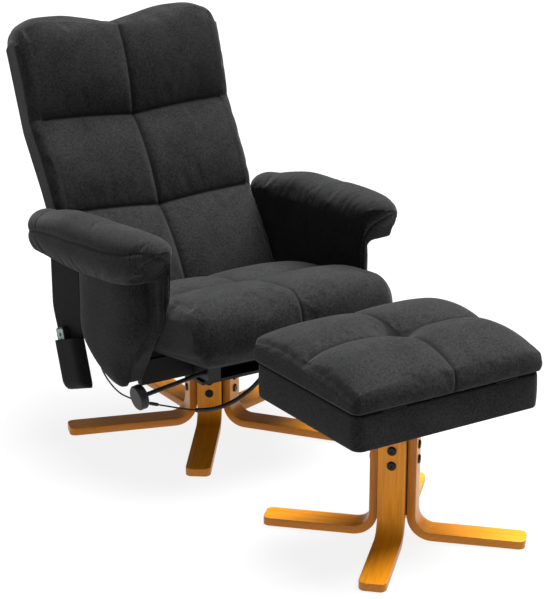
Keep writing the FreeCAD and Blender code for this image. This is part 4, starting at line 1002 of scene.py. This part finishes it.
seat_top = sum(SEAT_COUNTS)
seat = Cushion("seat_cushion_cover", cross_loops(seat_section, lambda place: SEAT_HALF, SEAT_EDGE),
               seat_top, SEAT_FACE, CHAIR_Y)
roll_middle, roll_reach = seat_top - SEAT_COUNTS[2] // 2, SEAT_COUNTS[2] + 3
relax(seat.obj, 40, keep=~seat.between(roll_middle - roll_reach, roll_middle + roll_reach))
relax(seat.obj, 4)
seat_front = seat.between(0, seat_top + SEAT_FACE)
seat_base = seat.between(seat_top + SEAT_FACE, seat.size)
seat_centre = seat.side_gap(0, seat_front)
seat_row = seat.row_gap(SEAT_COUNTS[0], SEAT_ROW_HALF, seat_front)
stuff(seat.obj, seat_base | ~seat.body, [seat_centre, seat_row], *SEAT_STUFFING)


# Footstool lid

LID_HALF_X = 256.0
LID_HALF_Y = 205.0
LID_Z = 405.0
LID_THICK = 56.0
LID_CROWN = 24.0
LID_LIFT = 28.0
LID_DRAW = 14.0
LID_FRONT_DROP = 28.0
LID_REAR_DROP = 12.0
LID_BULGE = 6.0
LID_EDGE = 9.0
# Share of the half width, then shares of crown, lift and draw
LID_SHARES = [
    (0.0, 0.85, 0.85, 0.0), (0.08, 0.92, 0.9, 0.0), (0.28, 1.0, 1.0, 0.0), (0.5, 1.0, 1.0, 0.0),
    (0.75, 0.9, 0.76, 0.05), (0.93, 0.6, 0.15, 0.4), (1.0, 0.45, -0.25, 1.0),
]
LID_COUNT = 27
LID_FACE = 10
LID_ROW_HALF = 247.0
LID_EDGE_SEAM = 248.0
TUFT_LOWEST = LID_Z + 30.0
TUFT_DIPS = ((19.0, 48.0), (5.0, 20.0))  # depth and width
TUFT_FOLDS = (1.2, 42.0, 26.0)  # height, distance from the middle, width


def lid_section(share):
    crown, lift, draw = table_row(LID_SHARES, abs(share))
    half = LID_HALF_Y - draw * LID_DRAW
    top_z = LID_Z + LID_THICK
    seam = np.array((0.0, top_z + lift * LID_LIFT))
    foot_front, foot_rear = np.array((-half, LID_Z)), np.array((half, LID_Z))
    edge_front = np.array((-half, top_z - draw * LID_FRONT_DROP))
    edge_rear = np.array((half, top_z - draw * LID_REAR_DROP))
    up = np.array((0, crown * LID_CROWN))
    bulge = np.array((LID_BULGE, 0))
    loop = bow(edge_rear, (edge_rear + seam) / 2 + up, seam, sewn_steps(LID_COUNT))
    loop += bow(seam, (edge_front + seam) / 2 + up, edge_front, sewn_steps(LID_COUNT))
    loop += bow(edge_front, (edge_front + foot_front) / 2 - bulge, foot_front, LID_FACE)
    loop += straight(foot_front, foot_rear, 2 * LID_COUNT)
    loop += bow(foot_rear, (edge_rear + foot_rear) / 2 + bulge, edge_rear, LID_FACE)
    return np.asarray(loop)


lid_top = 2 * LID_COUNT
lid = Cushion("lid_cushion_cover", cross_loops(lid_section, lambda place: LID_HALF_X, LID_EDGE),
              lid_top, LID_FACE, STOOL_Y)
relax(lid.obj, 4)
lid_under = lid.between(lid_top + LID_FACE + 1, 2 * lid_top + LID_FACE - 1)
lid_upper = lid.body & ~lid_under
lid_centre = lid.side_gap(0, lid_upper)
lid_row = lid.row_gap(LID_COUNT, LID_ROW_HALF, lid.between(0, lid_top))
lid_sides = lid.side_gap(LID_EDGE_SEAM, lid_upper)
stuff(lid.obj, ~lid_upper, [lid_centre, lid_row], *LID_STUFFING)


# Arms: rolled pad, padded core, outer panel wrapped round its front

ARM_INNER = 286.0
ARM_CORE_WIDTH = 40.0
ARM_OUTER = ARM_INNER + ARM_CORE_WIDTH
ARM_BASE_Z = 455.0
PAD_FRONT = -330.0
PAD_LENGTH = 632.0
PAD_HEIGHT = 167.0
PAD_WIDTH = 100.0
PAD_END_LIFT = 80.0
PAD_NOSE = (-282.0, 26.0)  # where the section begins to turn into an ellipse, and over what length
PAD_SWELL_Z = (398.0, 48.0)  # where the inner side begins to swell, and over what height
PAD_HANG = 60.0
PAD_DRAPE = 9.0  # thickness of the drape inside
PAD_BEND = (11.0, 6.0)  # where the drape leaves the pad: from its inner side, above the foot
# Share of the length, then shares of height, lift of the lower edge, draw inside and outside
PAD_STATIONS = [
    (0.0, 0.86, 0.0, 0.27, 0.52), (0.012, 0.92, 0.0, 0.15, 0.40), (0.045, 0.975, 0.0, 0.045, 0.26),
    (0.12, 1.0, 0.0, 0.0, 0.1), (0.2532, 0.985, 0.0, 0.0, 0.02), (0.45, 0.935, 0.0, 0.0, 0.0),
    (0.62, 0.885, 0.0, 0.0, 0.0), (0.77, 0.77, 0.0, 0.0, 0.02), (0.84, 0.7, 0.0, 0.0, 0.04),
    (0.93, 0.635, 0.02, 0.03, 0.08), (0.965, 0.585, 0.06, 0.08, 0.14),
    (0.988, 0.525, 0.13, 0.16, 0.24), (1.0, 0.43, 0.25, 0.29, 0.38),
]
# Shares of the width, from outside, and of the height
PAD_OUTLINE = {"foot": (0.12, 0), "low": (0.015, 0.2), "seam": (0, 0.5), "crown": (0.44, 1)}
PAD_INNER_TOP = 0.62
PAD_TOP = 26
PAD_SIDE = 20
# Heights of the pad's lower edges along the arm; inside, it hangs down as a drape over the core
PAD_OUTER_FOOT = [
    (-330, 574), (-322, 556), (-310, 534), (-277, 509), (-240, 496), (-192, 486), (-141, 478),
    (-63, 470), (0, 463), (302, 455),
]
PAD_INNER_FOOT = [
    (-330, 592), (-320, 580), (-308, 567), (-297, 553), (-288, 536), (-281, 508), (-276, 460),
    (-271, 424), (-262, 394), (-248, 362), (-225, 345), (150, 336), (200, 338), (218, 356),
    (232, 398), (244, 440), (256, 456), (302, 458),
]
NOSE_FOOT = [(-330, 590), (-322, 573), (-309, 556), (-295, 541), (-282, 528)]
ARM_SWELL = [(-330, 4), (-300, 10), (-280, 14), (-120, 14), (-20, 9), (80, 0), (302, 0)]
PAD_STEPS = np.unique(np.concatenate((
    [0.0, 0.004, 0.010, 0.018, 0.028, 0.038], np.linspace(0.046, 0.115, 24),
    np.linspace(0.12, 0.83, 70), np.linspace(0.836, 0.935, 20),
    [0.945, 0.957, 0.97, 0.98, 0.99, 1.0])))
PAD_SEAM = [
    (380, 288, 500), (388, 200, 522), (391, 100, 536), (391, 0, 547), (390, -100, 557),
    (385, -180, 565), (376, -240, 573), (361, -284, 582), (342, -312, 589), (326, -322, 586),
    (310, -318, 574), (297, -306, 555), (286, -294, 536), (280, -286, 520),
]
NOSE_TURNS = np.radians(np.concatenate([
    np.linspace(a, b, count, endpoint=False) for a, b, count in (
        (0, 165, PAD_TOP), (165, 215, PAD_SIDE), (215, 325, PAD_TOP), (325, 360, PAD_SIDE))]))


def pad_loop(share):
    top, foot_lift, inner_in, outer_in = table_row(PAD_STATIONS, share)
    y = PAD_FRONT + share * PAD_LENGTH
    foot, drape, low, swell = (
        table_row(table, y)[0] for table in (PAD_OUTER_FOOT, PAD_INNER_FOOT, NOSE_FOOT, ARM_SWELL))
    foot += foot_lift * PAD_END_LIFT
    drape += foot_lift * PAD_END_LIFT
    high = ARM_BASE_Z + top * PAD_HEIGHT
    tall = high - foot
    outer = ARM_INNER + PAD_WIDTH - outer_in * PAD_WIDTH

    def inner_at(z):
        bulge = swell * eased((z - PAD_SWELL_Z[0]) / PAD_SWELL_Z[1])
        return np.array((ARM_INNER + inner_in * PAD_WIDTH - bulge, z))

    inner_top, inner_foot = inner_at(max(foot + PAD_INNER_TOP * tall, drape + 3)), inner_at(drape)
    wide = outer - inner_top[0]
    outer_foot, outer_low, seam, crown = (
        np.array((outer - u * wide, foot + v * tall)) for u, v in PAD_OUTLINE.values())
    hung = clamp((foot - drape) / PAD_HANG)
    bend = ((1 - hung) * np.array((inner_foot[0] + 0.4 * wide, (drape + foot) / 2))
            + hung * np.array((inner_foot[0] + PAD_BEND[0], foot + PAD_BEND[1])))
    loop = bow(seam, crown, inner_top, PAD_TOP)
    loop += [inner_at(z) for z in inner_top[1] + (drape - inner_top[1]) * shares_of(PAD_SIDE)]
    underside = [inner_foot, inner_foot + (PAD_DRAPE, 0), bend, outer_foot]
    loop += list(resampled(underside, shares_of(PAD_TOP)))
    loop += bow(outer_foot, outer_low, seam, PAD_SIDE)
    nose = np.stack(((outer + inner_top[0]) / 2 + np.cos(NOSE_TURNS) * wide / 2,
                     (low + high) / 2 + np.sin(NOSE_TURNS) * (high - low) / 2), 1)
    blunt = eased((PAD_NOSE[0] - y) / PAD_NOSE[1])
    return [(p[0], y, p[1]) for p in np.asarray(loop) * (1 - blunt) + nose * blunt]


pad_loops = [pad_loop(v) for v in PAD_STEPS]
pads = {}
for side, sign in SIDES:
    loops = [[(sign * x, y, z) for x, y, z in loop] for loop in pad_loops]
    pad = Cushion("arm_pad_%s_cover" % side, loops, PAD_TOP, PAD_SIDE, CHAIR_Y)
    relax(pad.obj, 5)
    pads[side] = pad.obj
    stuff(pad.obj, pad.between(PAD_TOP + 1, 2 * PAD_TOP + PAD_SIDE), [], *PAD_STUFFING)

CORE_FRONT = -278.0
CORE_LENGTH = 483.0
CORE_FOOT = 203.0
CORE_FRONT_TOP = 521.96
CORE_TOP = ((205.0, 485.0), (-170.0, 517.0), (-248.0, 543.96), (-278.0, 524.96))
CORE_TURN = 80.0
CORE_EDGE = 3.0
CORE_INSET = 1.5  # it stands back from the pad's inner side
CORE_CAP = 14.0
CORE_MIDDLES = (8, 14, 20, 26, 32)
CORE_OUTLINE = [(0.0, 0.66), (0.12, 0.36), (0.262, 0.03), (0.48, 0.075), (0.68, 0.30), (1.0, 0.45)]

# Side outline of the core; its upper edge is hidden inside the pad
core_line = [(CORE_FRONT + u * CORE_LENGTH, CORE_FOOT + v * (CORE_FRONT_TOP - CORE_FOOT))
             for u, v in CORE_OUTLINE] + list(CORE_TOP)
core_line = rounded_loop(resampled(core_line + core_line[:1], shares_of(260)), 3)


def edge_profile(depth, edge):
    # Inset and depth of rings that round both edges of a slab, four for each
    near = [(edge * (1 - math.sin(t)), edge * (1 - math.cos(t)))
            for t in np.radians((0, 30, 60, 90))]
    return near, [(inset, depth - d) for inset, d in reversed(near)]


cores = {}
for side, sign in SIDES:
    near, far = edge_profile(ARM_CORE_WIDTH + 0.5, CORE_EDGE)
    profile = [(near[0][0] + CORE_CAP, near[0][1]), *near, *((0.0, d) for d in CORE_MIDDLES),
               *far, (far[-1][0] + CORE_CAP, far[-1][1])]
    rings = []
    for inset, depth in profile:
        turned = CORE_TURN * (max(0.0, depth - 1.0) / ARM_CORE_WIDTH) ** 0.6
        x = sign * (ARM_INNER + CORE_INSET + depth * 0.95)
        rings.append([(x, max(y, CORE_FRONT + turned + inset), z)
                      for y, z in inset_loop(core_line, inset)])
    cores[side] = ringed("arm_core_%s_cover" % side, rings, CHAIR_Y)

# The panel's front edge by height: height, across, along; then its rear edge: height, along
PANEL_FRONT_EDGE = [
    (200.0, 327.0, -132.0), (205.0, 327.0, -146.0), (214.0, 327.0, -155.0), (240.0, 327.0, -166.0),
    (267.0, 327.0, -177.0), (300.0, 323.0, -194.0), (330.0, 317.0, -210.0), (360.0, 311.0, -224.0),
    (400.0, 307.5, -231.0), (440.0, 307.0, -232.0), (480.0, 308.0, -228.0), (530.0, 310.0, -222.0),
]
PANEL_REAR_EDGE = [
    (200.0, -124.0), (205.0, -98.0), (214.0, -78.0), (240.0, -18.0), (267.0, 33.0), (285.0, 57.0),
    (305.0, 68.0), (330.0, 72.0), (530.0, 74.0),
]
PANEL_X = 327.0
PANEL_FOOT_Z = 200.0
PANEL_SWELL_RISE = 75.0
PANEL_BULGE = 31.0
PANEL_WRAP = 1.45  # how gently it turns round the core's front
PANEL_WALL = 3.0
PANEL_SHARES = (1 - np.cos(np.linspace(0, math.pi, 44))) / 2
PANEL_HEIGHTS = np.concatenate(([200.4, 202, 205, 209, 215, 222, 230], np.linspace(240, 524, 40)))
PIPING_RADIUS = 2.3
PIPING_FEET = ((281.0, -280.0), (287.0, -274.5))
# From a piping's foot: across, along; then the height
PIPING_ROUTE = ((7, 34, 362), (6, 19, 388), (4, 8, 416), (1, 2, 448), (0, 0, 490), (0, -2, 520))


def panel_row(z):
    # Outer and inner line of the panel at one height, from its front edge to its rear edge
    front_x, front_y = table_row(PANEL_FRONT_EDGE, z)
    (rear_y,) = table_row(PANEL_REAR_EDGE, z)
    start = np.array((front_x, front_y))
    turn = np.array((PANEL_X, front_y + (PANEL_X - front_x) * PANEL_WRAP))
    knots = [start, start * 0.45 + turn * 0.55, turn + (0, (rear_y - front_y) * 0.08),
             (PANEL_X, rear_y)]
    base = softened(resampled(knots, PANEL_SHARES), 10)
    tangent = np.gradient(base, axis=0)
    normal = np.stack((tangent[:, 1], -tangent[:, 0]), 1)
    normal /= np.maximum(np.linalg.norm(normal, axis=1, keepdims=True), 1e-9)
    lower = clamp((z - PANEL_FOOT_Z) / PANEL_SWELL_RISE)
    swell = (PANEL_BULGE * math.sqrt(1 - (1 - lower) ** 2.6)
             * (1 - np.abs(2 * PANEL_SHARES - 1) ** 3.4) ** 0.5)
    return base + normal * swell[:, None], base


panels = {}
pipings = []
for side, sign in SIDES:
    rings = []
    for z in PANEL_HEIGHTS:
        outer, base = panel_row(z)
        rings.append([(sign * x, y, z) for x, y in outer]
                     + [(sign * (x - PANEL_WALL), y, z) for x, y in base[::-1][1:-1]])
    panels[side] = ringed("side_panel_%s_cover" % side, rings, CHAIR_Y)
    for number, (x, y) in enumerate(PIPING_FEET):
        knots = [(sign * (x + dx), y + dy, z) for dx, dy, z in PIPING_ROUTE]
        route = [Vector(p) for p in curve_through(knots, 40)]
        pipings.append(tube("arm_piping_%s_%d" % (side, number + 1), route,
                            [PIPING_RADIUS] * len(route), CHAIR_Y, 10))


# Handset pocket

POCKET_LEAN = math.radians(20.0)
POCKET_X = ARM_OUTER + 0.3
POCKET_HALF = 66.0
POCKET_LENGTH = 132.0
POCKET_DEPTH = 30.0
POCKET_WALL = 2.5
POCKET_FOOT = (93.5, 120.9)
FLAP_TOP = ((90.0, 470.0), (247.0, 470.0))
FLAP_FRONT_BEND = (88.0, 350.0)
FLAP_REAR_BEND = (245.0, 300.0)
FLAP_FLARE = 9.0
FLAP_EDGE = 1.2
BAG_LAP = 0.6


def pocket_place(across, along):
    cos, sin = math.cos(POCKET_LEAN), math.sin(POCKET_LEAN)
    return (POCKET_FOOT[0] + across * cos + along * sin,
            POCKET_FOOT[1] - across * sin + along * cos)


def pocket_flap():
    # The flap hangs from under the pad and runs down behind the bag
    across, along = 16, 30
    low = [pocket_place(side * POCKET_HALF, 0) for side in (-1, 1)]
    front = [low[0], pocket_place(-POCKET_HALF, POCKET_LENGTH), FLAP_FRONT_BEND, FLAP_TOP[0]]
    rear = [FLAP_TOP[1], FLAP_REAR_BEND, pocket_place(POCKET_HALF + FLAP_FLARE, POCKET_LENGTH),
            low[1]]
    runs = ((front, along), (FLAP_TOP, across), (rear, along), (low[::-1], across))
    outline = np.vstack([resampled(knots, shares_of(count)) for knots, count in runs])
    near, far = edge_profile(POCKET_WALL, FLAP_EDGE)
    loops = [[(-POCKET_X - depth, *p) for p in inset_loop(rounded_loop(outline, 2), inset)]
             for inset, depth in near + far]
    return lofted("pocket_flap_cover", loops, along, across, CHAIR_Y)


def bag_depth(u, v):
    # Stand-off of the bag's front from the flap; u runs across, v up
    side = max(0.0, 1 - abs(u) ** 7) ** 0.5
    foot = math.sqrt(max(0.0, 1 - (1 - min(v / 0.22, 1)) ** 2))
    return POCKET_WALL + (POCKET_DEPTH - 2 * POCKET_WALL) * side * foot


def pocket_bag():
    across, up = 40, 34
    points = []
    for layer in (POCKET_WALL, -BAG_LAP):
        for j in range(up + 1):
            for i in range(across + 1):
                u, v = 2 * i / across - 1, j / up
                narrow = 1 - 0.05 * max(0.0, 1 - v / 0.12) ** 2
                y, z = pocket_place(u * narrow * (POCKET_HALF - BAG_LAP), v * POCKET_LENGTH)
                points.append((-POCKET_X - bag_depth(u, v) - layer, y, z))
    wide = across + 1
    sheet = wide * (up + 1)
    faces = []
    for a in (j * wide + i for j in range(up) for i in range(across)):
        b = sheet + a
        faces.append((a, a + 1, a + wide + 1, a + wide))
        faces.append((b, b + wide, b + wide + 1, b + 1))
    rim = list(range(wide)) + [j * wide + across for j in range(1, up + 1)]
    rim += [up * wide + i for i in range(across - 1, -1, -1)]
    rim += [j * wide for j in range(up - 1, 0, -1)]
    faces += [(a, sheet + a, sheet + b, b) for a, b in zip(rim, rim[1:] + rim[:1])]
    return new_object("pocket_bag_cover", points, faces, CHAIR_Y)


flap = pocket_flap()
bag = pocket_bag()


# Footstool box

BOX_HALF = (247.0, 198.0)
BOX_Z = (320.0, 401.0)
BOX_WALL = 16.0
BOX_FLOOR = 12.0
BOX_ROUND = 24.0
BOX_SWELL = 1.6
BOX_LOW_EDGE = 6.0
BOX_HIGH_EDGE = 4.0


def box_rings():
    low, high = BOX_Z
    outer, inner = (
        rounded_rectangle(BOX_HALF[0] - wall, BOX_HALF[1] - wall, BOX_ROUND - wall, 9, (22, 22))
        for wall in (0, BOX_WALL))
    rows = [(outer, 22, low)]
    rows += [(outer, BOX_LOW_EDGE * (1 - math.sin(t)), low + BOX_LOW_EDGE * (1 - math.cos(t)))
             for t in np.radians((0, 22, 45, 68, 90))]
    rows += [(outer, -BOX_SWELL * math.sin(math.pi * (z - low) / (high - low)), z)
             for z in np.linspace(low + 16, high - 9, 8)]
    rows += [(outer, BOX_HIGH_EDGE * (1 - math.cos(t)), high - BOX_HIGH_EDGE * (1 - math.sin(t)))
             for t in np.radians((0, 30, 60, 90))]
    rows.append((inner, -2, high))
    rows += [(inner, 0, z) for z in np.linspace(high - 2, low + BOX_FLOOR + 2, 5)]
    rows.append((inner, 3, low + BOX_FLOOR))
    return [[(*p, z) for p in inset_loop(loop, inset)] for loop, inset, z in rows]


box = ringed("stool_box_cover", box_rings(), STOOL_Y)


# Strip of lining behind the seat, from the rear cross board up into the foot of the back

GAP_HALF = 262.0
GAP_LINE = [(129.4, 229.0), (128.2, 245.0), (128.4, 286.0), (134.0, 302.0), (143.0, 314.0)]
GAP_RAIL_Z = 241.0  # its lower edge above the slide rails
GAP_RAIL_X = (150.0, 162.0)
GAP_THICK = 1.4
GAP_WAVE = 70.0
GAP_COUNT = 24


def gap_strip():
    loops = []
    for x in np.linspace(-GAP_HALF, GAP_HALF, 81):
        foot_z = np.interp(abs(x), GAP_RAIL_X, (GAP_LINE[0][1], GAP_RAIL_Z))
        knots = [(GAP_LINE[0][0], foot_z), *GAP_LINE[1:]]
        line = resampled(knots, np.linspace(0, 1, GAP_COUNT + 1))
        line[:, 0] += 0.5 * ripple(x, GAP_WAVE)
        loops.append([(x, *p) for p in np.vstack((line, line[::-1] + (GAP_THICK, 0)))])
    return lofted("gap_lining", loops, GAP_COUNT, 1, CHAIR_Y)


gap_lining = gap_strip()


# Sewing

def sew_back():
    place = vertex_rows(back.obj.data) / MM
    rise = np.hypot(place[:, 1], place[:, 2])
    front_edge = back.side_gap(BACK_FRONT_SEAM, back_front)
    rear_edge = back.side_gap(BACK_REAR_SEAM, back_behind)
    sew(back.obj, back_centre, place[:, 2], valley=1.3, valley_width=11.0)
    for gap in back_rows:
        sew(back.obj, gap, place[:, 0], valley=1.3, valley_width=11.0)
    sew(back.obj, front_edge, rise, valley=0.6, depth=0.9, width=2.6, tucks=0.0, mark=0.35)
    sew(back.obj, rear_edge, rise, valley=1.0, depth=1.3, width=2.8, tucks=0.2, mark=0.6)


def sew_seat():
    place = vertex_rows(seat.obj.data) / MM
    edge = seat.side_gap(SEAT_EDGE_SEAM, seat_front & (place[:, 1] < SEAT_EDGE_SEAM_Y))
    sew(seat.obj, seat_centre, place[:, 1] + place[:, 2], valley=2.0)
    sew(seat.obj, seat_row, place[:, 0], valley=2.0)
    sew(seat.obj, edge, place[:, 1], valley=2.0, depth=0.8, width=3.0, tucks=0.3, mark=0.3)


def sew_lid():
    place = vertex_rows(lid.obj.data) / MM
    depth = place[:, 1] - STOOL_Y
    sew(lid.obj, lid_centre, depth, valley=1.4)
    sew(lid.obj, lid_row, place[:, 0], valley=1.4)
    sew(lid.obj, lid_sides, depth, valley=0.5, depth=1.4, width=2.8, tucks=0.3, mark=0.6)
    # The tuft where the seams meet, with small folds round it
    on_top = lid_upper & (place[:, 2] > TUFT_LOWEST)
    reach = np.where(on_top, np.hypot(place[:, 0], depth), FAR)
    turn = np.arctan2(depth, place[:, 0])
    height, distance, width = TUFT_FOLDS
    folds = (np.cos(8 * turn + 0.4) + 0.6 * np.cos(13 * turn + 2.0)) * bell(reach - distance, width)
    push(lid.obj, height * folds - sum(dip * bell(reach, wide) for dip, wide in TUFT_DIPS))


def refine(obj):
    # Splits every face once, on the smoothed surface
    subdivide(obj)
    graph = bpy.context.evaluated_depsgraph_get()
    finer = bpy.data.meshes.new_from_object(obj.evaluated_get(graph))
    obj.modifiers.clear()
    old, obj.data = obj.data, finer
    finer.name = old.name
    bpy.data.meshes.remove(old)


def sew_pad(pad, sign):
    refine(pad)
    place = vertex_rows(pad.data) / MM - np.array((0, CHAIR_Y, 0))
    path = curve_through(PAD_SEAM, 90) * np.array((sign, 1, 1))
    nearest = [place[np.argmin(np.linalg.norm(place - p, axis=1))] for p in path]
    gap, along = path_distance(place, softened(nearest, 3))
    sew(pad, gap, along, valley=2.0, valley_width=12.0, depth=2.2, width=3.0, tucks=0.25)
    # Gathers beside the seam, at the nose only
    nose = bell(place[:, 1] + 292, 34) * bell(gap, 26) * (1 - bell(gap, 4))
    push(pad, 1.5 * ripple(along, 15.0) * nose)


settle()
sew_back()
sew_seat()
sew_lid()

dress(back.obj, "backrest", "charcoal_fabric", "back_cushion", "back_cover")
dress(seat.obj, "seat", "charcoal_fabric", "seat_cushion")
dress(lid.obj, "stool_lid", "charcoal_fabric", "lid_cushion")
dress(box, "footstool", "charcoal_fabric", "stool_box")
seat.obj.data.materials.append(LINING)
for face in seat.obj.data.polygons:
    face.material_index = int(all(seat_base[k] for k in face.vertices))
# Each cushion gets its painted seam shade before it is smoothed
for soft in (back.obj, seat.obj, lid.obj):
    paint_seam_shade(soft)
    subdivide(soft)
for side, sign in SIDES:
    sew_pad(pads[side], sign)
    paint_seam_shade(pads[side])
    subdivide(panels[side])
    for label, soft, fill in (("arm_pad_", pads[side], 0.85), ("arm_core_", cores[side], 0.7),
                              ("side_panel_", panels[side], 0.7)):
        dress(soft, "chassis", "charcoal_fabric", label + side)
for piping in pipings:
    dress(piping, "chassis", "charcoal_fabric")
# Flap and bag take the darker pocket cloth, which is painted shade
for cloth in (flap, bag):
    dress(cloth, "chassis", "charcoal_fabric", "remote_pocket", material=POCKET_SHADED_CLOTH)
gap_lining.data.materials.append(LINING)
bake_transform(gap_lining)


# Stage

FLOOR_M = 60.0
FLOOR_Z_M = -0.0005
WALL_M = 54.0
WALL_SIDES = 64
FRONT_PLACE_M = Vector((-0.9, -3.4, 2.5))
FRONT_TARGET_M = Vector((0, -0.4, 0.45))


def stage_piece(name, points, faces, material):
    mesh = bpy.data.meshes.new(name)
    mesh.from_pydata(points, [], faces)
    mesh.materials.append(material)
    obj = add_object(name, mesh)
    return obj


floor_white = Nodes("floor_white").finish(
    (0.10, 0.10, 0.10), 0.9, Emission_Color=(1, 1, 1), Emission_Strength=0.86,
    Specular_IOR_Level=0.1)
corners = [(x * FLOOR_M, y * FLOOR_M, FLOOR_Z_M) for x, y in ((-1, -1), (1, -1), (1, 1), (-1, 1))]
stage_piece("floor", corners, [(0, 1, 2, 3)], floor_white)

# White wall far behind everything, so that low views have no grey sky; it lights nothing
wall_white = Nodes("backdrop_white").finish(
    (0.0, 0.0, 0.0), 1.0, Emission_Color=(1, 1, 1), Emission_Strength=1.0)
wall_turns = [2 * math.pi * k / WALL_SIDES for k in range(WALL_SIDES)]
wall = stage_piece(
    "backdrop", [(WALL_M * math.cos(t), WALL_M * math.sin(t), z)
                 for z in (-1.0, FLOOR_M) for t in wall_turns],
    tube_faces(2, WALL_SIDES), wall_white)
wall.visible_diffuse = wall.visible_glossy = False
wall.visible_transmission = wall.visible_shadow = False

world = bpy.data.worlds.new("studio")
bpy.context.scene.world = world
world.use_nodes = True
background = world.node_tree.nodes["Background"]
background.inputs["Color"].default_value = (1, 1, 1, 1)
background.inputs["Strength"].default_value = 0.2


def add_light(name, kind, energy, aim, **settings):
    data = bpy.data.lights.new(name, kind)
    data.energy = energy
    for key, value in settings.items():
        setattr(data, key, value)
    obj = add_object(name, data)
    obj.rotation_euler = aim.to_track_quat("-Z", "Y").to_euler()
    return obj


add_light("sun", "SUN", 9.8, Vector((-0.36, -0.06, -0.92)), angle=math.radians(45))
front_light = add_light("front", "AREA", 11, FRONT_TARGET_M - FRONT_PLACE_M, shape="DISK",
                        size=1.6)
front_light.location = FRONT_PLACE_M

bpy.context.scene.view_settings.view_transform = "Standard"
